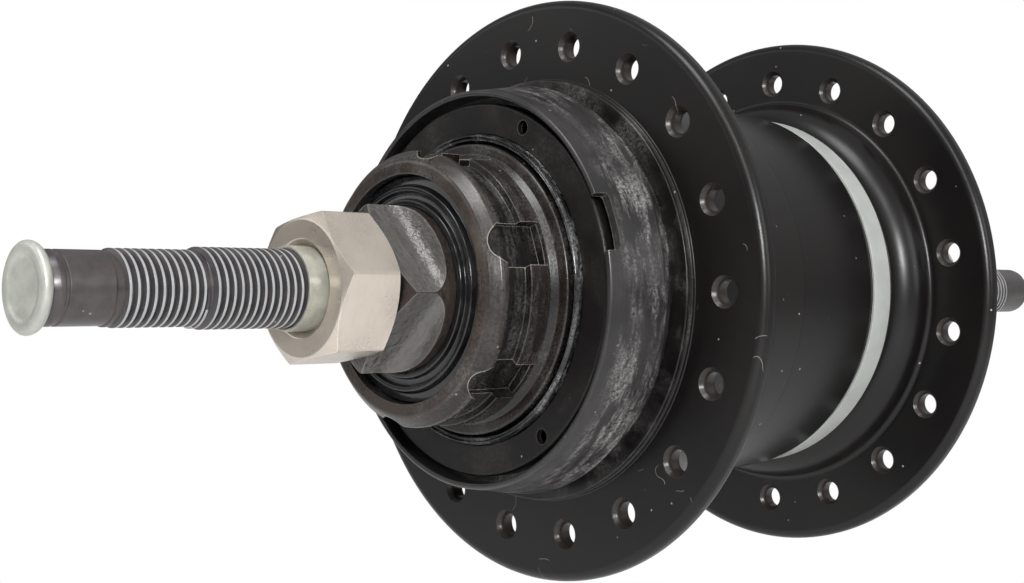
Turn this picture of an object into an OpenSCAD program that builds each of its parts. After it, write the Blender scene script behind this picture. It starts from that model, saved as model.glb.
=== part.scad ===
// Internal gear bicycle hub: planetary gear train with two roller clutches.
// The axle lies along Y with the drive side towards -Y and +Z up.
// The origin is on the axle's axis, midway between the two spoke flanges.
// Lengths are in millimetres.

/* [Spoke flanges] */
// Distance between the middles of the two spoke flanges
flange_spacing = 52; // [49:1:64]
// Outer diameter of both spoke flanges
flange_d = 79.4; // [76:0.2:90]
// Thickness of a spoke flange
flange_t = 3; // [2.4:0.1:3.4]
// Radius of the rounded rim of a flange
flange_rim_r = 1.3; // [0.4:0.1:1.4]
// Spoke holes in one flange
spoke_holes = 18; // [12:2:20]
// Diameter of the circle of spoke holes
spoke_pcd = 66.7; // [64:0.1:70]
// Diameter of a spoke hole
spoke_hole_d = 2.9; // [2.4:0.1:3.2]
// Diameter of the countersink at a spoke hole
spoke_sink_d = 4.1; // [3.6:0.1:4.6]
// Angle from +X to the first spoke hole of the drive flange
spoke_phase = 2.1; // [0:0.1:20]

/* [Hub shell] */
// Thickness of the barrel's wall over the seat of the ball cup
barrel_wall = 1.2; // [1:0.1:1.8]
// How much the barrel swells at its middle
barrel_crown = 0.25; // [0:0.05:0.5]
// Bore of the barrel
barrel_bore_d = 49; // [48.8:0.1:50]
// Height of the collar beside the drive flange above the barrel
collar_step = 1.3; // [1.1:0.1:2]
// Length of the collar from the drive flange
collar_l = 20; // [16:0.5:21]
// Radius of the cove where the collar meets the drive flange
cove_r = 3; // [1:0.5:4]
// Diameter of the seat of the silver band
band_seat_d = 52.8; // [52.4:0.1:53.2]
// Width of the silver band
band_w = 4; // [3:0.1:4.4]
// Thickness of the silver band
band_t = 0.4; // [0.2:0.05:0.6]
// Distance from the left flange to the silver band
band_gap = 6; // [5.6:0.1:6.4]
// Diameter of the raised roll beside the left flange
roll_d = 59; // [57:0.2:61]
// Width of the boss on the outside of the drive flange beyond the cup
boss_margin = 1.15; // [0.9:0.05:2]
// Height of that boss above the flange
boss_h = 1.4; // [0.8:0.1:2]
// Height of the step that the low clutch's race sits against
shell_step = 1.2; // [0.8:0.1:1.6]
// Thickness of the shell's left wall inside the flange
left_wall_t = 2; // [1.5:0.1:3]
// Diameter of the shell's left end
left_boss_d = 41; // [39:0.5:44]
// Length of the shell's left end beyond the flange
left_boss_l = 10; // [9.5:0.5:12]

/* [Axle] */
// Diameter of the axle's thread
axle_d = 9.4; // [9.3:0.1:9.6]
// Thread diameter on the outer half of the drive end
axle_outer_d = 8.7; // [8.4:0.1:9]
// Diameter of the plain axle ends
axle_end_d = 8.2; // [7.8:0.1:8.3]
// Diameter of the axle under the sun gear
axle_mid_d = 10; // [9.8:0.1:10.2]
// Bore of the axle for the push rod
axle_bore_d = 4.8; // [4.4:0.1:5]
// Pitch of the axle's thread
thread_pitch = 1; // [0.9:0.05:1.25]
// Depth of the axle's thread
thread_depth = 0.45; // [0.3:0.05:0.5]
// Length of the axle beyond the drive locknut
drive_tail_l = 33; // [30:0.5:40]
// Length of the axle beyond the left locknut
left_tail_l = 31.5; // [27:0.5:36]
// Length of the plain stretch at each axle end
plain_end_l = 7.5; // [5:0.5:9]
// Length of the smaller thread next to the drive end's plain stretch
outer_thread_l = 11; // [6:0.5:12]
// Diameter of the end cap's head
end_cap_d = 10; // [9:0.1:11]
// Thickness of the end cap's head
end_cap_t = 1.5; // [1:0.1:2]

/* [Drive side nut and cone] */
// Width of the drive locknut across its flats
nut_af = 17; // [16:0.5:18]
// Thickness of the drive locknut
nut_h = 8.4; // [7:0.2:9]
// Angle of a corner of the drive locknut from +X
nut_phase = 13.5; // [0:0.5:60]
// Outer diameter of the pale sleeve in the mouth of the nut
sleeve_d = 10.3; // [10.2:0.1:10.9]
// Length of that sleeve inside the nut
sleeve_l = 4.2; // [3.6:0.1:5]
// How far the sleeve stands out of the nut's outer face
sleeve_proud = 2.1; // [1.6:0.1:2.6]
// Width of the bevel in the nut's mouth, round the sleeve
nut_mouth = 0.8; // [0.4:0.1:1.2]
// Length of the cone's round base in front of the driver's recess
cone_base_proud = 0.6; // [0.4:0.1:0.8]
// Diameter of the cone's round base
cone_base_d = 21; // [20:0.1:21.4]
// Diameter of the cone's bevelled outer end
cone_neck_d = 16.2; // [15.8:0.1:16.8]
// Width of the cone across its wrench flats
cone_af = 15; // [14:0.1:15.6]
// Length of the cone's flatted part, from its base to the nut
cone_neck_l = 6.4; // [5.8:0.1:7.4]
// Length of the bevel at the cone's outer end
cone_bevel = 1; // [0.7:0.1:1.6]

/* [Driver] */
// Distance from the drive flange to the driver's outer face
driver_reach = 23.5; // [23:0.5:26]
// Diameter of the sprocket seat
seat_d = 35.2; // [34.9:0.1:35.6]
// Width of the outer ring of the sprocket seat
outer_ring_w = 2.4; // [2:0.1:2.8]
// Height of the bevel on the outer ring
outer_ring_bevel = 1.4; // [0.8:0.1:1.6]
// Width of the groove between the two rings
seat_groove_w = 3.6; // [3:0.1:4]
// Depth of that groove
seat_groove_depth = 1; // [0.5:0.1:1.2]
// Width of the inner ring of the sprocket seat
inner_ring_w = 3.1; // [2.5:0.1:3.3]
// Notches for the sprocket's lugs
notches = 6; // [3:1:9]
// Width of a notch
notch_w = 5.6; // [4:0.1:6]
// Depth of a notch below the seat
notch_depth = 1.9; // [1.2:0.1:2]
// Distance from the driver's outer face to the round end of a notch
notch_margin = 0.5; // [0.3:0.1:0.8]
// Angle of the first notch from +X
notch_phase = 21.5; // [0:0.5:60]
// Diameter of the driver's shoulder behind the seat
shoulder_d = 38.2; // [37.8:0.1:38.8]
// Width of the shallow groove in front of the shoulder
shoulder_gap = 1.5; // [1:0.1:1.8]
// Diameter of the recess in the driver's outer face
recess_d = 29; // [28.6:0.1:29.2]
// Depth of that recess
recess_depth = 2.3; // [2:0.1:2.5]
// Outer diameter of the driver's inner skirt
skirt_d = 26; // [25:0.5:27]
// Bore of the driver's inner skirt
skirt_bore_d = 20; // [19.6:0.2:21]
// Length of the driver's body behind its outer balls
driver_web = 3.5; // [2.8:0.1:4]

/* [Drive ball cup] */
// Distance from the drive flange to the front of the cup's rim
cup_reach = 12.6; // [12.4:0.1:13.4]
// Distance from the drive flange to the back of the cup's wide part
cup_back = 4.1; // [3.4:0.1:4.6]
// Thickness of the cup's wall round its balls
cup_wall = 1.94; // [1.9:0.02:2.1]
// Distance from the dust cap out to the rim's front edge
rim_w = 1.55; // [1.4:0.05:1.9]
// How much wider the cup is at its back than at its rim, in radius
cup_flare = 1.35; // [1.1:0.05:1.8]
// Thickness of the rim's wall
rim_t = 0.75; // [0.5:0.05:0.8]
// Depth of the groove inside the rim
rim_groove_depth = 3.4; // [2.5:0.1:3.6]
// Width of the dust cap's ring round the seal
dust_cap_w = 4.2; // [4.1:0.1:4.3]
// Thickness of the dust cap's sheet
dust_cap_t = 0.8; // [0.6:0.1:1]
// How far the dust cap lies behind the rim's front
dust_cap_sink = 1; // [0.6:0.1:1.2]
// Holes in the dust cap's face
dust_cap_holes = 3; // [2:1:6]
// Diameter of a hole in the dust cap
dust_hole_d = 1.9; // [1:0.1:2]
// Distance from a hole to the edge of the dust cap
dust_hole_margin = 0.9; // [0.8:0.1:1.2]
// Angle of the first hole from +X
dust_hole_phase = 68; // [0:1:120]
// Width of the seal's ring
seal_w = 1; // [0.8:0.1:1.1]
// Depth of the seal behind the dust cap's face
seal_depth = 1.4; // [1:0.1:1.6]
// Height of the seal's lips in front of that face
seal_lip = 1; // [0.8:0.1:1.2]
// Angle that a tool notch in the rim spans
rim_notch_arc = 16; // [8:1:30]
// Depth of a tool notch in the rim
rim_notch_depth = 2; // [1:0.1:2.4]
// Angle of the first tool notch from +X
rim_notch_phase = 21; // [0:1:90]

/* [Bearings] */
// Ball diameter in both drive side bearings
ball_d = 4.76; // [4.7:0.02:4.8]
// Pitch diameter of the balls between cone and driver
cone_ball_pcd = 19.6; // [19.4:0.1:19.8]
// Balls between cone and driver
cone_balls = 9; // [7:1:10]
// Distance from the driver's face back to those balls
cone_ball_depth = 5; // [4.9:0.1:5.6]
// Balls between driver and cup
cup_balls_n = 20; // [12:1:22]
// Distance from the drive flange out to those balls
cup_ball_reach = 6; // [5.8:0.1:6.2]
// Ball diameter in the left bearing
left_ball_d = 6.35; // [6.2:0.05:6.4]
// Pitch diameter of the left balls
left_ball_pcd = 23; // [22.6:0.1:23.4]
// Balls in the left bearing
left_balls_n = 9; // [6:1:10]
// Distance from the left flange out to those balls
left_ball_reach = 4.5; // [4.2:0.1:4.8]
// Thickness of a ball cage
cage_t = 1.1; // [0.8:0.1:1.3]
// Height of the shoulders that the races stand up beside their balls
cup_lip = 1.3; // [1:0.1:1.4]

/* [Planetary gears] */
// Module of the gear teeth
gear_module = 0.9; // [0.88:0.01:0.91]
// Teeth of the sun gear
sun_teeth = 16; // [16:2:18]
// Pressure angle of the teeth
pressure_angle = 25; // [24:0.5:26]
// How much each tooth is thinned for backlash
backlash = 0.16; // [0.1:0.02:0.2]
// Width of the planet gears
planet_w = 12; // [10:0.5:12.5]
// Station of the middle of the gears, towards the drive side
gear_mid = 2; // [1.5:0.1:2.5]
// How far sun and ring teeth reach past the planets at each end
mesh_overhang = 1; // [0.5:0.1:1.2]
// Outer diameter of the ring gear
ring_d = 46; // [45:0.2:46.4]
// Diameter of the planet pins
planet_pin_d = 4; // [3.6:0.1:4.2]
// Thickness of the carrier's back plate
carrier_t = 4; // [3:0.5:4.5]
// Thickness of the carrier's front plate
carrier_plate_t = 3; // [2:0.2:3.2]
// Diameter of both carrier plates
carrier_d = 36.4; // [35:0.2:36.8]
// Diameter of the carrier's pillars
pillar_d = 4.4; // [3:0.2:4.8]
// Diameter of the circle of pillars
pillar_pcd = 30.4; // [30:0.2:31]
// Diameter of the carrier's hub under the clutch cam
carrier_hub_d = 16; // [14:0.5:18]
// Width of the four keys between the carrier's hub and the cam
cam_key_w = 4; // [3:0.5:5]
// Height of those keys
cam_key_h = 1.4; // [1:0.1:2]
// Thickness of the wire ring that centres the low clutch's cage
cage_spring_t = 1; // [0.8:0.1:1.2]
// Thickness of the thrust washer behind the carrier
thrust_t = 1.2; // [0.8:0.1:1.5]
// Thickness of the circlip that holds the thrust washer
clip_t = 0.9; // [0.7:0.1:1]
// Depth of the circlip's groove in the axle
clip_groove = 0.5; // [0.4:0.05:0.6]

/* [Roller clutches] */
// Rollers in the low gear clutch
low_rollers_n = 8; // [7:1:10]
// Diameter of a low gear clutch roller
low_roller_d = 4; // [3.6:0.1:4.1]
// Bore of the low gear clutch race
low_race_bore = 42.4; // [42.2:0.1:42.8]
// Width of the low gear clutch cam
low_cam_w = 11; // [9:0.5:11.5]
// Rollers in the drive clutch
drive_rollers_n = 12; // [10:1:12]
// Diameter of a drive clutch roller
drive_roller_d = 2.6; // [2.4:0.1:2.7]
// Wall of the drive clutch race
drive_race_t = 1.4; // [1.3:0.1:1.5]
// Width of the drive clutch cam
drive_cam_w = 9; // [8:0.5:9.5]
// Slack of a roller between cam and race
roller_slack = 0.35; // [0.3:0.05:0.4]
// Distance from each end of a cam to its rollers
roller_end = 1.1; // [0.8:0.1:1.4]

/* [Gear selection] */
// Width of an arm
arm_w = 4; // [3.4:0.1:4.2]
// Thickness of the sliding clutch
clutch_t = 3; // [2.4:0.1:3.2]
// Travel of the push rod from low to normal gear
shift_travel = 2; // [1:0.1:2.2]
// Diameter of the push rod
push_rod_d = 3.6; // [3:0.1:3.8]
// Width of the shift key
key_w = 2.4; // [2:0.1:2.6]
// Bore of the dogs inside the ring gear
dog_bore = 29.6; // [29:0.2:30]
// Length of the clutch's arms from the axis
arm_reach = 17.6; // [16.6:0.2:18]
// Thickness of the washer under the clutch spring
washer_t = 0.8; // [0.6:0.1:1]
// Length of the clutch spring when the clutch is in
spring_l = 3.4; // [3:0.1:3.6]
// Thickness of the clutch spring's wire
spring_wire = 1.4; // [1:0.1:1.6]

/* [Left end] */
// Width of the left locknut across its flats
left_nut_af = 17; // [15:0.5:18]
// Thickness of the left locknut
left_nut_h = 6.5; // [5:0.5:7]
// Thickness of the left washer
left_washer_t = 1.5; // [1:0.1:2]
// Diameter of the left washer
left_washer_d = 18; // [17:0.5:20]
// Distance from the left flange to the outer face of the left locknut
left_reach = 41.1; // [39:0.1:44]
// Diameter of the left cone
left_cone_d = 18; // [17.4:0.1:18.4]
// Width of the left cone across its wrench flats
left_cone_af = 15; // [14:0.5:16]
// Outer diameter of the left ball cup
left_cup_d = 35.8; // [35.4:0.1:36.2]
// Length of the left cone's round part outside the shell
left_cone_round = 4; // [3:0.5:5]
// Distance from the left flange to the back of the left ball cup
left_cup_inset = 0.8; // [0.6:0.1:1]
// Height of the step behind the left ball cup
left_cup_step = 2; // [1:0.1:2.4]
// Thickness of the left dust cap and of its rim
left_cap_t = 1; // [0.8:0.1:1.2]
// Depth of the left dust cap in the shell
left_cap_l = 2.4; // [2:0.1:2.6]

/* [Clearances] */
// Radial clearance of a shaft that turns or slides in its bore
run_fit = 0.08; // [0.05:0.01:0.1]
// Radial clearance of a piece that is pressed or screwed on
seat_fit = 0.02; // [0.01:0.01:0.03]
// Clearance between a ball or roller and what it runs on
ball_fit = 0.1; // [0.08:0.01:0.12]
// Clearance beside pieces that turn past each other
side_gap = 0.3; // [0.2:0.05:0.35]
// End play of the carrier on the axle
end_play = 0.15; // [0.1:0.05:0.2]

/* [Hidden] */
fine = 96;
arc_steps = 6;
flank_steps = 4;

// Stations along the axle, counted from the middle of the hub, positive towards the drive side
drive_face = flange_spacing / 2 + flange_t / 2;
drive_back = flange_spacing / 2 - flange_t / 2;
left_face = -drive_face;
left_back = -drive_back;
boss_face = drive_face + boss_h;
rim_face = drive_face + cup_reach;
cup_ball_at = drive_face + cup_ball_reach;
driver_face = drive_face + driver_reach;
outer_ring_back = driver_face - outer_ring_w;
inner_ring_front = outer_ring_back - seat_groove_w;
inner_ring_back = inner_ring_front - inner_ring_w;
shoulder_at = inner_ring_back - shoulder_gap;
cone_ball_at = driver_face - cone_ball_depth;
recess_at = driver_face - recess_depth;
cone_base_at = driver_face + cone_base_proud;
nut_back = cone_base_at + cone_neck_l;
nut_face = nut_back + nut_h;
axle_drive_end = nut_face + drive_tail_l;
left_nut_face = left_face - left_reach;
left_nut_back = left_nut_face + left_nut_h;
left_washer_back = left_nut_back + left_washer_t;
left_ball_at = left_face - left_ball_reach;
axle_left_end = left_nut_face - left_tail_l;
left_shell_end = left_face - left_boss_l;
left_cup_end = left_shell_end + left_cap_l;

// Radii shared by pieces that meet
axle_r = axle_d / 2;
ball_r = ball_d / 2;
left_ball_r = left_ball_d / 2;
cone_ball_r = cone_ball_pcd / 2;
left_ball_ring_r = left_ball_pcd / 2;
barrel_bore_r = barrel_bore_d / 2;
seat_r = seat_d / 2;
shoulder_r = shoulder_d / 2;
skirt_r = skirt_d / 2;
skirt_bore_r = skirt_bore_d / 2;
seal_bore_r = shoulder_r + side_gap;
seal_r = seal_bore_r + seal_w;
dust_cap_r = seal_r + dust_cap_w;
rim_r = dust_cap_r + rim_w;
cup_side_r = rim_r + cup_flare;
boss_r = cup_side_r + boss_margin;
cup_ball_r = shoulder_r + ball_r + ball_fit;
cup_track_r = cup_ball_r + ball_r + ball_fit;
cup_seat_r = cup_track_r + cup_wall;
barrel_r = cup_seat_r + barrel_wall;
collar_r = barrel_r + collar_step;
drive_race_r = cup_seat_r - drive_race_t;
groove_floor_r = dust_cap_r + seat_fit;
thread_bore_r = axle_r + seat_fit;

// Planetary train: the planets mesh only where sun and planet teeth add up to an even number
planets = 4;
planet_teeth = 14;
ring_teeth = sun_teeth + 2 * planet_teeth;
centre_distance = gear_module * (sun_teeth + planet_teeth) / 2;
addendum = gear_module;
dedendum = 1.25 * gear_module;
sun_tip_r = gear_module * sun_teeth / 2 + addendum;
ring_tip_r = gear_module * ring_teeth / 2 - addendum;
ring_root_r = gear_module * ring_teeth / 2 + dedendum;
planet_from = gear_mid - planet_w / 2;
planet_to = gear_mid + planet_w / 2;
teeth_from = planet_from - mesh_overhang;
teeth_to = planet_to + mesh_overhang;
carrier_top = planet_from - side_gap;
carrier_back = carrier_top - carrier_t;
plate_from = planet_to + side_gap;
plate_to = plate_from + carrier_plate_t;

// Clutches and gear selection: the arms engage every third gap between the dogs
clutch_arms = 4;
dogs = 12;
low_cam_from = carrier_back - low_cam_w;
low_roller_ring_r = low_race_bore / 2 - roller_slack / 2 - low_roller_d / 2;
low_cam_apothem = low_roller_ring_r - low_roller_d / 2 - roller_slack / 2;
low_cam_corner_r = low_cam_apothem / cos(180 / low_rollers_n);
carrier_end = low_cam_from - cage_spring_t - 2 * end_play;
thrust_top = carrier_end - end_play;
clip_top = thrust_top - thrust_t;
clip_bottom = clip_top - clip_t;
axle_mid_end = clip_bottom - 0.8;
drive_cam_from = plate_to + 2 * side_gap;
drive_cam_to = drive_cam_from + drive_cam_w;
drive_roller_ring_r = drive_race_r - roller_slack / 2 - drive_roller_d / 2;
drive_cam_apothem = drive_roller_ring_r - drive_roller_d / 2 - roller_slack / 2;
drive_cam_corner_r = drive_cam_apothem / cos(180 / drive_rollers_n);
race_step = drive_cam_from - 2 * side_gap;
race_left = low_cam_from - 2 * side_gap;
left_cup_seat = left_face - left_cup_inset;
cup_inner_end = drive_cam_to + side_gap;
spring_at = teeth_to + washer_t;
clutch_from = spring_at + spring_l + side_gap + shift_travel;
clutch_to = clutch_from + clutch_t;
key_from = clutch_to + side_gap;
key_to = key_from + key_w;
clutch_hub_r = skirt_bore_r - side_gap;
dog_slot_r = arm_reach + side_gap;
driver_end = plate_to + 1;
shoulder_end = cup_ball_at - driver_web;

// Turns a piece drawn along local Z so that it lies along the axle, drive side towards -Y
module hub_axis() {
    rotate([90, 0, 0]) children();
}

// A solid of revolution from points given as [radius, station]
module turned(points) {
    rotate_extrude($fn = fine) polygon(points);
}

// A hollow ring between two stations
module ring(outer_r, inner_r, from, to) {
    difference() {
        translate([0, 0, from]) cylinder(r = outer_r, h = to - from, $fn = fine);
        translate([0, 0, from - 1]) cylinder(r = inner_r, h = to - from + 2, $fn = fine);
    }
}

// Copies of a piece spread evenly on a circle
module spread(count, radius, phase) {
    for (i = [0 : count - 1]) {
        rotate([0, 0, phase + i * 360 / count]) translate([radius, 0, 0]) children();
    }
}

// The channel that a set of balls rolls in
module ball_track(ring_r, station, tube_r) {
    translate([0, 0, station]) rotate_extrude($fn = fine) translate([ring_r, 0]) circle(r = tube_r, $fn = 48);
}

module ball_set(count, ring_r, station, radius) {
    translate([0, 0, station]) spread(count, ring_r, 0) sphere(r = radius, $fn = 48);
}

// A band with a round pocket for each ball
module ball_cage(count, ring_r, station, radius) {
    difference() {
        ring(ring_r + cage_t / 2, ring_r - cage_t / 2, station - radius - 0.3, station + radius - 0.6);
        translate([0, 0, station]) {
            spread(count, ring_r, 0) sphere(r = radius + ball_fit, $fn = 48);
        }
    }
}

// The rollers of a clutch, each on a flat of its cam, or their pockets with a clearance
module roller_set(count, ring_r, cam_from, cam_w, diameter, clearance) {
    spread(count, ring_r, 180 / count) {
        translate([0, 0, cam_from + roller_end - clearance]) {
            cylinder(r = diameter / 2 + clearance, h = cam_w - 2 * roller_end + 2 * clearance, $fn = 48);
        }
    }
}

// A hexagonal nut with both faces chamfered, from its back face up
module hex_nut(af, height, bore_r, from) {
    corner_r = af / 2 / cos(30);
    chamfer = corner_r - af * 0.46;
    difference() {
        intersection() {
            translate([0, 0, from]) cylinder(r = corner_r, h = height, $fn = 6);
            turned([[0, from], [af * 0.46, from], [corner_r, from + chamfer * 0.6],
                [corner_r, from + height - chamfer * 0.6], [af * 0.46, from + height], [0, from + height]]);
        }
        translate([0, 0, from - 1]) cylinder(r = bore_r, h = height + 2, $fn = fine);
    }
}

function arc(centre_r, centre_s, radius, from_a, to_a) =
    [for (k = [0 : arc_steps]) let (a = from_a + (to_a - from_a) * k / arc_steps)
        [centre_r + radius * cos(a), centre_s + radius * sin(a)]];

function polar(r, a) = [r * cos(a), r * sin(a)];

// Involute of a circle, in degrees
function involute(a) = tan(a) * 180 / PI - a;

// Half the angle that a tooth covers at a radius
function tooth_half(r, teeth, thick) =
    let (pitch_r = gear_module * teeth / 2, base_r = pitch_r * cos(pressure_angle))
    thick / (2 * pitch_r) * 180 / PI + involute(pressure_angle) - involute(acos(min(1, base_r / r)));

function tooth_points(teeth, root_r, tip_r, thick, side) =
    let (base_r = gear_module * teeth / 2 * cos(pressure_angle), start_r = max(base_r, root_r))
    concat(root_r < base_r ? [polar(root_r, side * tooth_half(base_r, teeth, thick))] : [],
        [for (k = [0 : flank_steps]) let (r = start_r + (tip_r - start_r) * k / flank_steps)
            polar(r, side * tooth_half(r, teeth, thick))]);

function turn(p, a) = [p[0] * cos(a) - p[1] * sin(a), p[0] * sin(a) + p[1] * cos(a)];

function reversed(list) = [for (k = [len(list) - 1 : -1 : 0]) list[k]];

// The outline of a gear with a tooth centred on +X
function gear_outline(teeth, root_r, tip_r, thick) =
    let (up = tooth_points(teeth, root_r, tip_r, thick, -1),
        down = reversed(tooth_points(teeth, root_r, tip_r, thick, 1)))
    [for (i = [0 : teeth - 1]) for (p = concat(up, down)) turn(p, i * 360 / teeth)];

tooth_thick = PI * gear_module / 2 - backlash;
space_thick = PI * gear_module / 2 + backlash;

module outer_gear(teeth, bore_r, from, to) {
    pitch_r = gear_module * teeth / 2;
    difference() {
        translate([0, 0, from]) {
            linear_extrude(height = to - from) {
                polygon(gear_outline(teeth, pitch_r - dedendum, pitch_r + addendum, tooth_thick));
            }
        }
        translate([0, 0, from - 1]) cylinder(r = bore_r, h = to - from + 2, $fn = fine);
    }
}

// Points of a thread's crests and roots, from one station down to a lower one
function thread_profile(crest_r, top, bottom) =
    let (turns = floor((top - bottom) / thread_pitch))
    [for (k = [0 : turns - 1]) for (q = [[0, 0.12], [1, 0.42], [1, 0.58], [0, 0.88]])
        [crest_r - q[0] * thread_depth, top - (k + q[1]) * thread_pitch]];

// Axle unit: everything that stays still with the frame

module axle() {
    end_r = axle_end_d / 2;
    outer_r = axle_outer_d / 2;
    mid_r = axle_mid_d / 2;
    thread_top = axle_drive_end - plain_end_l;
    thread_step = thread_top - outer_thread_l;
    left_thread_end = axle_left_end + plain_end_l;
    key_slot_from = key_from - shift_travel - side_gap;
    color([0.42, 0.4, 0.39]) hub_axis() difference() {
        turned(concat(
            [[0, axle_drive_end], [end_r - 0.5, axle_drive_end], [end_r - 0.15, axle_drive_end - 0.8],
                [end_r, axle_drive_end - 1], [end_r, thread_top + 0.4], [outer_r, thread_top]],
            thread_profile(outer_r, thread_top, thread_step),
            [[outer_r, thread_step], [axle_r, thread_step - 0.4]],
            thread_profile(axle_r, thread_step - 0.4, nut_face + 0.5),
            [[axle_r, nut_face], [axle_r, clutch_from], [mid_r, clutch_from - 0.3], [mid_r, clip_top],
                [mid_r - clip_groove, clip_top], [mid_r - clip_groove, clip_bottom - seat_fit],
                [mid_r, clip_bottom - seat_fit], [mid_r, axle_mid_end], [axle_r, axle_mid_end],
                [axle_r, left_nut_face]],
            thread_profile(axle_r, left_nut_face - 0.5, left_thread_end),
            [[axle_r, left_thread_end], [end_r, left_thread_end - 0.4], [end_r, axle_left_end + 1],
                [end_r - 0.8, axle_left_end], [0, axle_left_end]]));
        translate([0, 0, key_slot_from - 3]) {
            cylinder(d = axle_bore_d, h = axle_drive_end - key_slot_from + 4, $fn = fine);
        }
        translate([-axle_d, -key_w / 2 - side_gap, key_slot_from]) {
            cube([2 * axle_d, key_w + 2 * side_gap, key_to + side_gap - key_slot_from]);
        }
    }
}

module axle_end_cap() {
    head_r = end_cap_d / 2;
    stem_r = axle_bore_d / 2 - seat_fit;
    top = axle_drive_end + end_cap_t;
    color([0.8, 0.81, 0.79]) hub_axis() turned(concat(
        [[0, axle_drive_end - 4], [stem_r - 0.3, axle_drive_end - 4], [stem_r, axle_drive_end - 3.6],
            [stem_r, axle_drive_end], [head_r - 0.5, axle_drive_end]],
        arc(head_r - 0.7, axle_drive_end + 0.7, 0.7, -60, 100),
        [[head_r - 1.4, top - 0.15], [0, top - 0.35]]));
}

module locknut_sleeve() {
    sleeve_r = sleeve_d / 2 - seat_fit;
    front = nut_face + sleeve_proud;
    color([0.9, 0.91, 0.84]) hub_axis() difference() {
        turned([[0, nut_face - sleeve_l], [sleeve_r, nut_face - sleeve_l], [sleeve_r, front - 0.2],
            [sleeve_r - 0.2, front], [0, front]]);
        translate([0, 0, nut_face - sleeve_l - 1]) cylinder(r = thread_bore_r, h = sleeve_l + sleeve_proud + 2, $fn = fine);
    }
}

module drive_locknut() {
    color([0.78, 0.74, 0.7]) hub_axis() difference() {
        rotate([0, 0, nut_phase]) hex_nut(nut_af, nut_h, thread_bore_r, nut_back);
        translate([0, 0, nut_face - sleeve_l]) cylinder(d = sleeve_d, h = sleeve_l + 1, $fn = fine);
        turned([[0, nut_face + nut_mouth], [sleeve_d / 2 + 2 * nut_mouth, nut_face + nut_mouth],
            [sleeve_d / 2, nut_face - nut_mouth], [0, nut_face - nut_mouth]]);
    }
}

module drive_cone() {
    base_r = cone_base_d / 2;
    neck_r = cone_neck_d / 2;
    track_r = cone_ball_r - ball_r - ball_fit;
    cone_end = cone_ball_at - ball_r - cup_lip / 2;
    color([0.4, 0.39, 0.38]) hub_axis() difference() {
        intersection() {
            turned([[0, cone_end], [track_r, cone_end], [track_r, cone_ball_at],
                [track_r + 1.2, cone_ball_at], [track_r + 1.2, recess_at - side_gap],
                [base_r, recess_at - side_gap], [base_r, nut_back - cone_bevel], [neck_r, nut_back],
                [0, nut_back]]);
            union() {
                translate([0, 0, cone_end - 1]) {
                    cylinder(r = base_r + 1, h = cone_base_at + 0.5 - cone_end + 1, $fn = fine);
                }
                translate([0, 0, nut_back / 2 + cone_base_at / 2]) {
                    intersection_for (a = [45, 135]) {
                        rotate([0, 0, a]) cube([cone_af, 60, 2 * cone_neck_l], center = true);
                    }
                }
            }
        }
        ball_track(cone_ball_r, cone_ball_at, ball_r + ball_fit);
        translate([0, 0, cone_end - 1]) cylinder(r = thread_bore_r, h = nut_back - cone_end + 2, $fn = fine);
    }
}

module cone_seal() {
    inner_r = cone_base_d / 2 + seat_fit;
    outer_r = recess_d / 2 - 0.15;
    back = recess_at + 0.2;
    front = driver_face - 0.1;
    color([0.16, 0.16, 0.16]) hub_axis() turned([[inner_r, back], [outer_r, back], [outer_r, back + 0.8],
        [outer_r - 1.1, back + 1], [outer_r - 1.4, front - 0.2], [outer_r - 1.9, front - 0.2],
        [outer_r - 2.2, back + 1.2], [outer_r - 2.9, back + 1.3], [outer_r - 3.1, front], [inner_r, front]]);
}

module sun_gear() {
    color([0.62, 0.61, 0.59]) hub_axis() {
        outer_gear(sun_teeth, axle_mid_d / 2 + seat_fit, teeth_from, teeth_to);
    }
}

module spring_washer() {
    color([0.7, 0.7, 0.69]) hub_axis() {
        ring(clutch_hub_r - 1, axle_mid_d / 2 + seat_fit, teeth_to, spring_at);
    }
}

module clutch_spring() {
    color([0.6, 0.6, 0.6]) hub_axis() {
        ring(clutch_hub_r - 1.5, clutch_hub_r - 1.5 - spring_wire, spring_at, spring_at + spring_l);
    }
}

module thrust_washer() {
    color([0.68, 0.66, 0.6]) hub_axis() {
        ring(carrier_hub_d / 2, axle_mid_d / 2 + seat_fit, clip_top, thrust_top);
    }
}

module axle_circlip() {
    inner_r = axle_mid_d / 2 - clip_groove + seat_fit;
    color([0.3, 0.3, 0.3]) hub_axis() difference() {
        ring(axle_mid_d / 2 + 1.6, inner_r, clip_bottom, clip_top);
        translate([0, -1.5, clip_bottom - 1]) cube([axle_mid_d, 3, clip_t + 2]);
    }
}

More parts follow.
